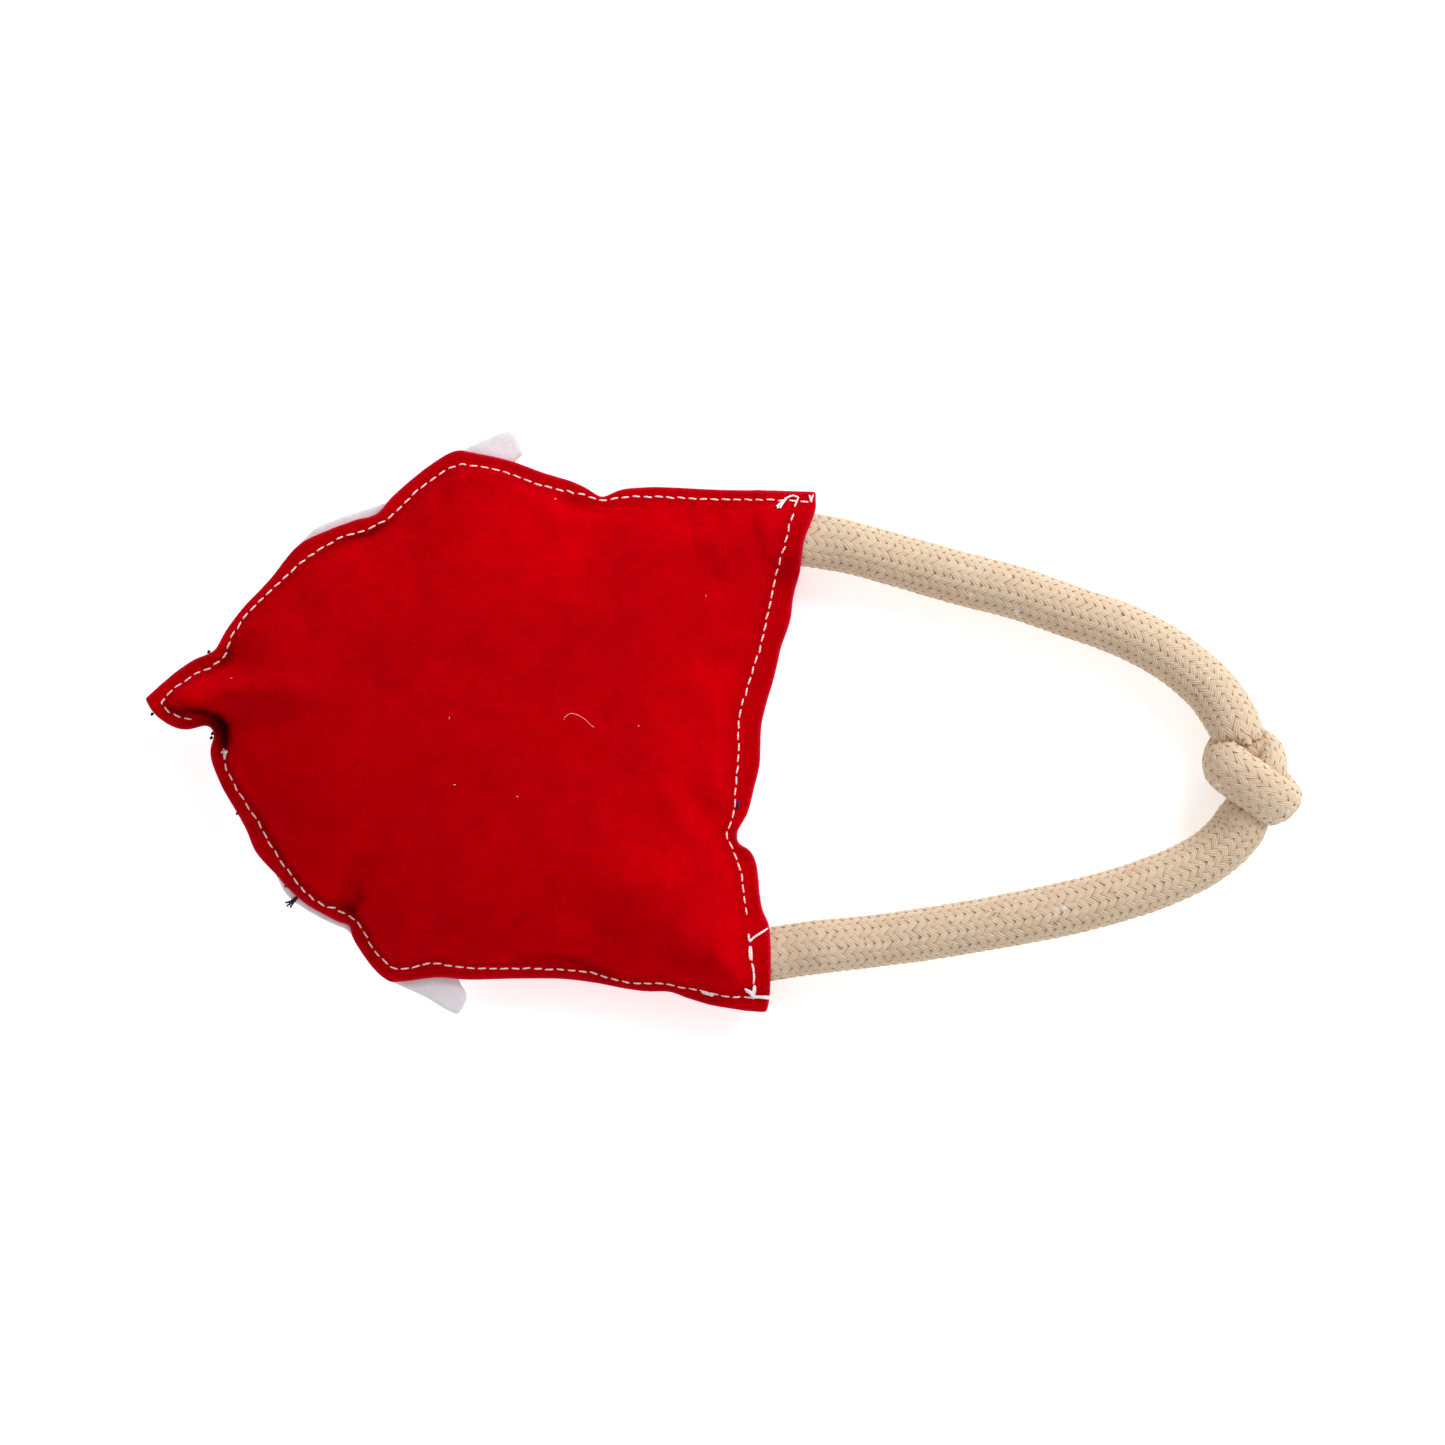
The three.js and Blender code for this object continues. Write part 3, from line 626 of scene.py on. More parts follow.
def rope_surface(path, distance, angle, radius):
    """Places on the rope: a distance along it, an angle round it and a radius, where ROPE is its surface.

    It is narrower in the knot, squeezed on the inside of its bends, and pressed flat in the sack's corners.
    """
    along = arc_lengths(path)
    ahead, side, up = travelling_frames(path)
    wide, thick = rope_sizes(path)
    outward = outward_of_knot(path, ahead)
    turning = np.gradient(ahead, along, axis=0)
    evened = np.ones(7) / 7
    turning = np.stack([np.convolve(turning[:, i], evened, "same") for i in range(3)], axis=1)

    def here(values):
        """The values at each place's distance."""
        return np.stack([np.interp(distance, along, column) for column in values.T], axis=-1)

    share = radius / ROPE
    offset = (np.cos(angle) * share)[..., None] * here(side) + (np.sin(angle) * share)[..., None] * here(up)
    out_here = unit(here(outward))
    out_part = np.sum(offset * out_here, axis=-1, keepdims=True) * out_here
    offset = (offset - out_part) * here(wide[:, None]) + out_part * here(thick[:, None])
    bend = here(turning)
    bend_size = np.maximum(np.linalg.norm(bend, axis=-1, keepdims=True), 1e-9)
    bend_way = bend / bend_size
    inward = np.sum(offset * bend_way, axis=-1, keepdims=True)
    room = 0.72 / bend_size
    offset = offset - bend_way * np.maximum(inward - room, 0)
    middle = here(path)
    edge_x = np.where(middle[..., 1] > 0, UPPER_EXIT[0], LOWER_EXIT[0])
    opens_from, opens_over = 0.001, 0.016
    opened = eased(np.clip((middle[..., 0] - edge_x - opens_from) / opens_over, 0, 1))
    offset[..., 2] *= ROPE_PRESSED + (1 - ROPE_PRESSED) * opened
    placed = middle + offset
    lowest = 0.0003
    placed[..., 2] = np.maximum(placed[..., 2], lowest)
    return placed


def yarn_ribbon(path, number, turns_left):
    """One flat ribbon of three yarns round the rope, over two of the ribbons it meets, under the next two."""
    total = arc_lengths(path)[-1]
    distance = np.linspace(0, total, round(total / BRAID_TURN * RIBBON_STEPS))
    way = 1 if turns_left else -1
    seed = number + (0.5 if turns_left else 0.0)
    wander = np.array([noise.noise(Vector((s * 130, seed * 7.3, 0))) for s in distance])
    swell = np.array([noise.noise(Vector((s * 170, seed * 5.1, 8))) for s in distance])
    angle = 2 * math.pi * number / RIBBONS + way * distance * 2 * math.pi / BRAID_TURN
    crossing = np.cos(RIBBONS / 2 * angle) * way
    lift = np.tanh(1.6 * crossing) / math.tanh(1.6)
    angle = angle + 0.035 * wander
    tilt = math.atan(2 * math.pi * ROPE / BRAID_TURN)
    spread = math.pi * ROPE / RIBBONS * math.cos(tilt)
    width = spread * (1.02 + 0.10 * np.clip(crossing, -1, 1) + 0.12 * swell)
    section = np.array(RIBBON_SECTION)
    across = section[None, :, 0] * width[:, None]
    core = ROPE - RIBBON_DEPTH - 0.5 * YARN
    radius = core + (lift + 0.25 * swell)[:, None] * RIBBON_DEPTH + section[None, :, 1] * YARN
    placed_angle = angle[:, None] + across * math.cos(tilt) / ROPE
    placed_distance = np.clip(distance[:, None] - way * across * math.sin(tilt), 0, total)
    points = rope_surface(path, placed_distance, placed_angle, radius)
    # Painted shade: darker where a ribbon dips under the others, in the grooves of its section and where the
    # rope touches itself.
    depth = np.clip(0.42 - 0.5 * lift + 0.25 * wander, 0, 1)[:, None]
    crevice_shade = 0.75 * depth + section[None, :, 2] * (0.75 + 0.5 * wander[:, None])
    touching = pressed_together(points.reshape(-1, 3), placed_distance.ravel(), path).reshape(crevice_shade.shape)
    crevice_shade = np.clip(crevice_shade + CONTACT_SHADE * touching, 0, 1)
    tone = 0.5 + 0.5 * noise.noise(Vector((seed * 3.7, 1.0, 2.0))) + 0.3 * swell[:, None]
    tone = np.broadcast_to(tone, crevice_shade.shape)
    return points.reshape(-1, 3), tube_faces(len(distance), len(section)), crevice_shade.ravel(), tone.ravel()


def make_rope():
    """The braided rope, in one length from corner to corner, with its overhand knot."""
    route = [*ROPE_UPPER, *ROPE_KNOT, *ROPE_LOWER]
    path = evenly(smooth_curve(route), 0.001)
    parts, crevices, tones = [], [], []
    for number in range(RIBBONS):
        for turns_left in (True, False):
            points, faces, crevice_shade, tone = yarn_ribbon(path, number, turns_left)
            parts.append((points, faces))
            crevices.append(crevice_shade)
            tones.append(tone)
    # The core seen through the gaps between ribbons gets mostly painted shade.
    core_sides, core_radius, core_shade, core_tone = 24, ROPE - 0.00125, 0.8, 0.5
    angle = np.broadcast_to(np.arange(core_sides) * 2 * math.pi / core_sides, (len(path), core_sides))
    distance = np.broadcast_to(arc_lengths(path)[:, None], angle.shape)
    core = rope_surface(path, distance, angle, np.full(angle.shape, core_radius))
    parts.append((core.reshape(-1, 3), tube_faces(len(path), core_sides)))
    crevices.append(np.full(angle.size, core_shade))
    tones.append(np.full(angle.size, core_tone))
    points, faces = joined(parts)
    rope = mesh_object("rope", points, faces, ROPE_LOOK)
    point_values(rope, "crevice_shade", np.concatenate(crevices))
    point_values(rope, "tone", np.concatenate(tones))
    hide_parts("rope_upper_end", "rope_upper_leg", "rope_knot", "rope_lower_leg", "rope_lower_end")
    joint = frame["joints"][0]
    outward = Vector(joint["axis"]).cross(Vector((0, 0, 1)))
    outward = outward if outward.x > 0 else -outward
    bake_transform(rope)


# ---------------------------------------------------------------- the two suede panels

SHEET_STEP = 0.0023  # side of the triangles that a panel is made of
FLANGE_STEP = 0.0016  # spacing of the points along the cut edge
# Where the seam puckers, with how far in the suede is gathered.
PUCKERS = [
    (-0.0780, 0.0190), (-0.0360, 0.0580), (0.0363, 0.0673), (0.0742, -0.0338), (-0.0398, -0.0587),
    (-0.0790, -0.0040), (0.0326, -0.0756), (0.0890, 0.0440),
]
PUCKER_REACH = 0.016
SLACK = 0.012  # spare suede all over, as a share
PUCKER_SLACK = 0.05  # and the same beside a pucker

# Places where the sewn edge is drawn up or down: x, y, how far, how wide.
FLANGE_RISES = [
    (-0.0784, -0.0022, -0.0032, 0.0055), (-0.1000, 0.0070, 0.0012, 0.0100), (-0.0830, 0.0207, 0.0008, 0.0060),
    (-0.0395, -0.0600, -0.0010, 0.0060), (0.0360, 0.0690, 0.0006, 0.0070), (0.0755, -0.0340, -0.0006, 0.0060),
    (-0.0300, 0.0660, 0.0012, 0.0070),
]

# Notches where the edge outside the seam stands up: x, y, its slope, how wide.
FLANGE_CURLS = [
    (-0.0800, -0.0030, 1.40, 0.0075), (-0.0400, -0.0620, 0.60, 0.0060), (0.0363, 0.0690, 0.40, 0.0060),
    (0.0775, -0.0345, 0.60, 0.0060), (-0.0815, 0.0205, 0.50, 0.0060), (0.0500, -0.0790, 0.22, 0.0250),
]

# Ridges (up) and dips (down) that the filling and the seams pull into the back: height, half width, route.
BACK_FOLDS = [
    (0.0048, 0.0050, [(-0.0935, 0.0071), (-0.0850, 0.0080), (-0.0750, 0.0088), (-0.0640, 0.0094),
                      (-0.0500, 0.0100)]),
    (0.0030, 0.0030, [(-0.0925, 0.0062), (-0.0860, 0.0060), (-0.0790, 0.0062)]),
    (0.0018, 0.0060, [(-0.0720, 0.0020), (-0.0705, -0.0040), (-0.0700, -0.0110), (-0.0680, -0.0160)]),
    (-0.0018, 0.0036, [(-0.0775, 0.0180), (-0.0740, 0.0200), (-0.0700, 0.0215)]),
    (-0.0045, 0.0032, [(-0.0400, -0.0580), (-0.0400, -0.0510), (-0.0370, -0.0440)]),
    (0.0010, 0.0060, [(-0.0500, -0.0490), (-0.0450, -0.0450), (-0.0400, -0.0390)]),
    (0.0010, 0.0055, [(-0.0340, -0.0590), (-0.0300, -0.0530), (-0.0260, -0.0470)]),
    (0.0030, 0.0036, [(-0.0100, 0.0735), (-0.0010, 0.0742), (0.0090, 0.0715), (0.0165, 0.0690)]),
    (-0.0036, 0.0042, [(0.0230, 0.0688), (0.0275, 0.0666), (0.0330, 0.0662), (0.0390, 0.0670)]),
    (0.0010, 0.0036, [(0.0190, 0.0640), (0.0240, 0.0615), (0.0310, 0.0612), (0.0400, 0.0630)]),
    (-0.0030, 0.0050, [(0.0600, 0.0650), (0.0665, 0.0600), (0.0730, 0.0650)]),
    (0.0030, 0.0075, [(0.0640, 0.0560), (0.0720, 0.0575), (0.0820, 0.0585)]),
    (0.0018, 0.0090, [(0.0700, 0.0470), (0.0780, 0.0490), (0.0840, 0.0480)]),
    (-0.0026, 0.0040, [(0.0745, -0.0330), (0.0695, -0.0290), (0.0645, -0.0245), (0.0605, -0.0190)]),
    (0.0018, 0.0048, [(0.0560, -0.0180), (0.0585, -0.0237), (0.0635, -0.0320), (0.0690, -0.0373),
                      (0.0761, -0.0463)]),
    (0.0020, 0.0120, [(0.0570, -0.0560), (0.0585, -0.0380), (0.0570, -0.0200), (0.0580, -0.0050)]),
    (0.0020, 0.0036, [(0.0700, -0.0120), (0.0716, -0.0182), (0.0741, -0.0242)]),
    (-0.0017, 0.0036, [(0.0140, -0.0712), (0.0240, -0.0705), (0.0320, -0.0742), (0.0380, -0.0772)]),
    (0.0016, 0.0045, [(0.0160, -0.0650), (0.0260, -0.0645), (0.0360, -0.0685), (0.0450, -0.0730)]),
    (0.0018, 0.0080, [(0.0560, -0.0690), (0.0660, -0.0705), (0.0740, -0.0720)]),
    (-0.0026, 0.0050, [(0.0830, 0.0200), (0.0740, 0.0175), (0.0650, 0.0170)]),
    (0.0022, 0.0060, [(0.0660, 0.0100), (0.0700, 0.0040), (0.0710, -0.0050)]),
]

# Where the filling pushes the back out over its seam: how far in x and y, half width, route.
BACK_OVERHANGS = [
    ((0.0000, -0.0016), 0.0036, [(-0.0910, 0.0052), (-0.0860, 0.0050), (-0.0810, 0.0052)]),
    ((-0.0014, 0.0000), 0.0040, [(-0.0742, -0.0010), (-0.0738, -0.0050), (-0.0736, -0.0100)]),
    ((0.0005, 0.0022), 0.0040, [(-0.0030, 0.0742), (0.0040, 0.0730), (0.0110, 0.0708)]),
]

# Creases that get painted shade, where shade falls: how much, half width, route.
BACK_CREASES = [
    (0.85, 0.0013, [(-0.0950, 0.0042), (-0.0900, 0.0034), (-0.0850, 0.0032), (-0.0810, 0.0026)]),
    (1.00, 0.0022, [(-0.0820, 0.0020), (-0.0787, -0.0003), (-0.0772, -0.0035), (-0.0772, -0.0080)]),
    (0.40, 0.0018, [(-0.0795, 0.0175), (-0.0768, 0.0193), (-0.0752, 0.0230)]),
    (0.45, 0.0020, [(-0.0400, -0.0575), (-0.0380, -0.0550), (-0.0350, -0.0510)]),
    (0.28, 0.0017, [(0.0125, -0.0716), (0.0252, -0.0714), (0.0337, -0.0740), (0.0400, -0.0766)]),
    (0.30, 0.0018, [(-0.0400, 0.0555), (-0.0340, 0.0570), (-0.0280, 0.0605)]),
]

# How much painted shade lies in the fold just inside the seam, and where it is darker: x, y, how much, how
# wide.
SEAM_CREASE = 0.16
SEAM_CREASES = [
    (-0.0640, -0.0360, 0.30, 0.0300), (-0.0400, -0.0580, 0.25, 0.0100), (-0.0360, 0.0575, 0.30, 0.0120),
]

# A place near the rope's upper end where the suede lies smooth, and how far that reaches.
CALM_PLACE = (0.0700, 0.0520)
CALM_REACH = 0.0160


def rope_lift(points):
    """Half the gap that the pressed rope ends hold open between the panels."""
    half_wide, half_high = ROPE + 0.0030, ROPE * ROPE_PRESSED + 0.0004
    reaches_in = 0.014
    lift = np.zeros(len(points))
    for crossing, outside in ((UPPER_EXIT, ROPE_UPPER[2]), (LOWER_EXIT, ROPE_LOWER[-3])):
        out = unit(np.array(outside[:2]) - np.array(crossing[:2]))
        offset = points[:, :2] - np.array(crossing[:2])
        along = offset @ out
        aside = np.abs(offset[:, 0] * out[1] - offset[:, 1] * out[0])
        away = np.hypot(aside / half_wide, np.maximum(0, -along - reaches_in) / half_high)
        lift = np.maximum(lift, half_high * np.sqrt(np.maximum(0, 1 - away ** 2)))
    return lift


def flange_ripple(points):
    """How the sewn edge rises and falls along its way round, and is drawn up or down at the notches."""
    return with_bumps(noise_at(points, 28, 1.5) * 0.0016, points, FLANGE_RISES)


def seam_crease(points, from_seam, inside):
    """How much painted shade goes where the filling rises from the seam."""
    much = with_bumps(np.full(len(points), SEAM_CREASE), points, SEAM_CREASES)
    middle, half_width = 0.0011, 0.0011
    return much * np.exp(-((from_seam - middle) / half_width) ** 2) * inside


def flange_slope(points):
    """How steeply the edge outside the seam stands up."""
    return with_bumps(np.zeros(len(points)), points, FLANGE_CURLS)


def neighbours(faces, count):
    """Pairs of joined points, as two arrays, each pair both ways round."""
    pairs = {(a, b) for face in faces for a, b in zip(face, (*face[1:], face[0]))}
    pairs |= {(b, a) for a, b in pairs}
    pairs = np.array(sorted(pairs))
    return pairs[:, 0], pairs[:, 1], np.bincount(pairs[:, 0], minlength=count)


def smoothed(values, faces, free, times):
    """Values on a mesh, each free one moved to the middle of its neighbours several times."""
    first, second, count = neighbours(faces, len(values))
    values = values.copy()
    for _ in range(times):
        sums = np.bincount(first, weights=values[second], minlength=len(values))
        values[free] = 0.5 * values[free] + 0.5 * (sums / count)[free]
    return values


def blown_up(points, faces, held, slack, frames=30, scale=10):
    """Fills a panel with Blender's cloth, ten times as large as it is, where the solver is steady."""
    made = mesh_object("cloth", points * scale, faces, SUEDE_LOOK)
    made.vertex_groups.new(name="held").add(np.nonzero(held)[0].tolist(), 1.0, "REPLACE")
    gathered = made.vertex_groups.new(name="gathered")
    for i, weight in enumerate(slack):
        gathered.add([i], float(weight), "REPLACE")
    modifier = made.modifiers.new("cloth", "CLOTH")
    settings = modifier.settings
    settings.quality = 5
    settings.tension_stiffness = settings.compression_stiffness = 60
    settings.shear_stiffness = 20
    settings.bending_stiffness = 30
    settings.tension_damping = settings.compression_damping = settings.shear_damping = 25
    settings.bending_damping = 2
    settings.air_damping = 2
    settings.vertex_group_mass = "held"
    settings.vertex_group_shrink = "gathered"
    settings.shrink_min = -SLACK
    settings.shrink_max = -PUCKER_SLACK
    settings.use_pressure = True
    settings.uniform_pressure_force = 3.0
    settings.effector_weights.gravity = 0
    modifier.collision_settings.use_collision = False
    modifier.point_cache.frame_end = frames
    for number in range(1, frames + 1):
        bpy.context.scene.frame_set(number)
    settled = made.evaluated_get(bpy.context.evaluated_depsgraph_get()).data
    places = np.empty(len(settled.vertices) * 3)
    settled.vertices.foreach_get("co", places)
    bpy.data.objects.remove(made)
    bpy.context.scene.frame_set(1)
    return places.reshape(-1, 3) / scale


def share_of_fold(points, half_width, route):
    """How much each point takes part in a fold: 1 on its line, less to the sides and at its ends."""
    line = smooth_curve(route, 12)
    along = np.linspace(-1, 1, len(line))
    fade = 1 - np.abs(along) ** 4 * 0.7
    gap = np.linalg.norm(points[:, None, :2] - line[None], axis=2)
    return np.exp(-(gap.min(1) / half_width) ** 2) * fade[gap.argmin(1)]


def panel_form(crown, way):
    """A panel filled upwards (way 1) or down (way -1), and which of its points are inside the seam."""
    cut = closed_ring(EDGE_SIDES, FLANGE_STEP)
    seam = closed_ring(SEAM_SIDES, STITCH / 2)
    plan, faces = flat_sheet(cut, [seam], SHEET_STEP)
    from_seam = distance_to(plan, seam)
    inside = inside_outline(plan, seam) & (from_seam > 1e-5)
    slope = np.where(inside, 0, flange_slope(plan))
    half_apart = (PLY_GAP + SUEDE) / 2 * np.sqrt(1 + slope ** 2) + rope_lift(plan)
    level = flange_ripple(plan) + slope * from_seam + way * half_apart
    full_depth_from = 0.045
    share = np.clip(1 - from_seam / full_depth_from, 0, 1)
    start = level + np.where(inside, way * 0.8 * crown * (1 - share ** 2.2) ** 0.6, 0)
    points = np.column_stack([plan, start])
    if way < 0:
        faces = [face[::-1] for face in faces]
    nearest = np.linalg.norm(plan[:, None] - np.array(PUCKERS), axis=2).min(1)
    points = blown_up(points, faces, ~inside, np.exp(-(nearest / PUCKER_REACH) ** 2))
    points[:, 2] = np.where(inside, points[:, 2], level)
    return points, faces, inside


def raise_folds(made):
    """Adds the back's folds and overhangs inside the seam. A dip never goes down to the other panel."""
    fade_over, least_room = 0.0022, 0.0015
    seam = closed_ring(SEAM_SIDES, STITCH / 2)
    places = mesh_points(made)
    fade = np.where(inside_outline(places, seam), np.clip(distance_to(places, seam) / fade_over, 0, 1), 0)
    added = fade * sum(height * share_of_fold(places, width, route) for height, width, route in BACK_FOLDS)
    level = SEAM_LEVEL + flange_ripple(places)
    room = np.clip((places[:, 2] - level - least_room) / 0.005, 0, 1)
    places[:, 2] += np.where(added < 0, added * room, added)
    raised = np.clip((places[:, 2] - level - least_room) / 0.006, 0, 1) * (fade > 0)
    pushed = [np.outer(share_of_fold(places, width, route), push) for push, width, route in BACK_OVERHANGS]
    places[:, :2] += raised[:, None] * sum(pushed)
    made.data.vertices.foreach_set("co", places.ravel())
    made.data.update()


def suede_piece(name, points, faces, folded):
    """A panel with its real thickness and rounded edges, and folds if it is folded."""
    made = mesh_object(name, points, faces, SUEDE_LOOK)
    rounded(made, SUEDE)
    if folded:
        raise_folds(made)
    cut = closed_ring(EDGE_SIDES, 0.0008)
    places = mesh_points(made)
    from_cut = distance_to(places, cut)
    cut_width = 0.0009
    point_values(made, "cut_edge", np.clip(1 - from_cut / cut_width, 0, 1) ** 1.5)
    seam = closed_ring(SEAM_SIDES, STITCH / 4)
    # How much painted shade each point gets, along the seam and, on the back, in its creases.
    crease_shade_amount = seam_crease(places, distance_to(places, seam), inside_outline(places, seam))
    for much, half_width, route in BACK_CREASES:
        crease_shade_amount += much * share_of_fold(places, half_width, route) * folded
    point_values(made, "crease_shade", np.clip(crease_shade_amount, 0, 1))
    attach(made, "sack")
    return made


def make_back():
    """The back panel, which faces up."""
    points, faces, inside = panel_form(BACK_CROWN, 1)
    points[:, 2] = SEAM_LEVEL + smoothed(points[:, 2], faces, inside, 5)
    calm = inside & (np.linalg.norm(points[:, :2] - np.array(CALM_PLACE), axis=1) < CALM_REACH)
    points[:, 2] = smoothed(points[:, 2], faces, calm, 30)
    made = suede_piece("back_panel_suede", points, faces, folded=True)
    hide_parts("back_panel")
    return made


def make_front():
    """The front panel, pressed flat by the sack's weight on the felt and the floor."""
    points, faces, inside = panel_form(FRONT_CROWN, -1)
    points[:, 2] = SEAM_LEVEL + smoothed(points[:, 2], faces, inside, 3)
    felt_ends, fades_over, softness = 0.032, 0.020, 0.0006
    on_felt = eased(np.clip((felt_ends - points[:, 0]) / fades_over, 0, 1))
    floor = SUEDE / 2 + ABOVE_FLOOR + (FELT + 0.0004) * on_felt
    points[:, 2] = floor + softness * np.logaddexp(0, (points[:, 2] - floor) / softness)
    made = suede_piece("front_panel_suede", points, faces, folded=False)
    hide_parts("front_panel")
    return made


# ---------------------------------------------------------------- heights and thread

SIDE_SEAM = [*SEAM_LOWER, *SEAM_UPPER]  # one thread from corner to corner, round the tip
PLY = 0.56  # radius of each of a thread's two plies, as a share of the thread's
PLY_TURN = 0.0019  # how far along the thread its plies take for one turn


def surface_of(made):
    """A search tree of an object's faces."""
    mesh = made.data
    return BVHTree.FromPolygons([v.co for v in mesh.vertices], [tuple(p.vertices) for p in mesh.polygons])


def height_at(surface, x, y, from_below=False):
    """The height of the first face met straight down from above, or up from below. None past its edge."""
    start = Vector((x, y, -0.05 if from_below else 0.10))
    hit = surface.ray_cast(start, Vector((0, 0, 1 if from_below else -1)))
    return hit[0].z if hit[0] else None


def height_near(surface, x, y, level, from_below=False):
    """The same, and past the edge the height of the nearest face."""
    height = height_at(surface, x, y, from_below)
    return surface.find_nearest(Vector((x, y, level)))[0].z if height is None else height


def seam_height(surface, way):
    """A function for the height of a panel's outer face on the seam, even where filling bulges over it."""
    def height(x, y):
        place = np.array([[x, y]])
        level = SEAM_LEVEL + flange_ripple(place)[0] + way * (PLY_GAP / 2 + SUEDE + rope_lift(place)[0])
        for above in (0.0015, 0.003, 0.006, 0.05):
            hit = surface.ray_cast(Vector((x, y, level + way * above)), Vector((0, 0, -way)))
            if hit[0] and hit[1].z * way > 0:
                return hit[0].z
        return level
    return height


def two_plies(path, radius):
    """The two twisted plies of one length of thread, each thinner towards its ends."""
    path = evenly(path, 0.00032)
    along = arc_lengths(path)
    _, side, up = travelling_frames(path)
    swollen = 1.15  # soft plies are a little thicker than the room they have
    taper = 0.6 + 0.4 * np.sqrt(np.sin(math.pi * np.linspace(0.06, 0.94, len(path))))
    parts = []
    for start in (0, math.pi):
        angle = start + along * 2 * math.pi / PLY_TURN
        offset = np.cos(angle)[:, None] * side + np.sin(angle)[:, None] * up
        ply = path + offset * (radius * (1 - PLY))
        parts.append(tube(ply, radius * PLY * swollen * taper))
    return parts


def thread_piece(name, parts, material, slot, *nodes):
    """A piece made of threads, which rides on the sack."""
    points, faces = joined(parts)
    made = mesh_object(name, points, faces, material)
    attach(made, "sack")
    if nodes:
        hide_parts(*nodes)
    return made


def stitch(height_of, line, start, end, radius, way):
    """One stitch: it comes up out of its hole, arches over the suede and goes down into the next hole."""
    share = np.linspace(0, 1, 9)
    plan = at_lengths(line, start + (end - start) * share)
    sideways = unit(np.array([plan[0, 1] - plan[-1, 1], plan[-1, 0] - plan[0, 0]]))
    shift, turn = random.gauss(0, 0.0001), random.gauss(0, 0.0002)
    plan = plan + np.outer(shift + turn * (share - 0.5), sideways)
    arch = np.sin(math.pi * share) ** 0.5
    heights = [height_of(x, y) for x, y in plan]
    middle, most = float(np.median(heights)), 0.0004
    heights = np.clip(heights, middle - most, middle + most)
    return np.column_stack([plan, heights + way * (radius * (1.35 * arch - 0.8))])


def stitch_row(height_of, line, pitch, radius, way, skipped=None):
    """Stitches along a line, all but those in a skipped box, where the seam is folded out of sight."""
    parts = []
    along = arc_lengths(line)[-1]
    count = round(along / pitch)
    step = along / count
    for number in range(count):
        start = (number + 0.16 + random.uniform(-0.03, 0.03)) * step
        end = (number + 0.84 + random.uniform(-0.04, 0.04)) * step
        path = stitch(height_of, line, start, end, radius, way)
        x, y = path[4, :2]
        if skipped and skipped[0] < x < skipped[1] and skipped[2] < y < skipped[3]:
            continue
        parts += two_plies(path, radius)
    return parts


def make_seams(back, front):
    """Both faces of the two seams. The closing seam is one thread that starts below the upper corner."""
    past_corner = (0.0994, 0.0668)
    side = np.vstack([smooth_curve(part)[:-1] for part in SIDE_SEAM] + [[SEAM_UPPER[-1][-1], past_corner]])
    closing = smooth_curve(SEAM_CLOSING)
    closing_shown = at_lengths(closing, np.linspace(0.0036, arc_lengths(closing)[-1] - 0.0245, 400))
    fold = (-0.0868, -0.0775, -0.0080, 0.0035)
    random.seed(11)
    above, below = seam_height(back, 1), seam_height(front, -1)
    rows = [
        ("side_seam", "top", stitch_row(above, side, STITCH, THREAD, 1, fold)),
        ("side_seam", "under", stitch_row(below, side, STITCH, THREAD, -1)),
        ("closing_seam", "top", stitch_row(above, closing_shown, STITCH, THREAD, 1)),
        ("closing_seam", "under", stitch_row(below, closing, STITCH, THREAD, -1)),
    ]
    for seam, face, parts in rows:
        name = f"{seam}_stitches_{face}"
        thread_piece(name, parts, WHITE_THREAD_LOOK, "white_thread", f"{seam}_{face}_thread")


def laid_thread(surface, places, radius):
    """A thread laid on a surface through (x, y, how far above the surface its underside is)."""
    path = smooth_curve(places, 8)
    heights = [height_near(surface, x, y, SEAM_LEVEL) + lift + radius for x, y, lift in path]
    return two_plies(np.column_stack([path[:, :2], heights]), radius)


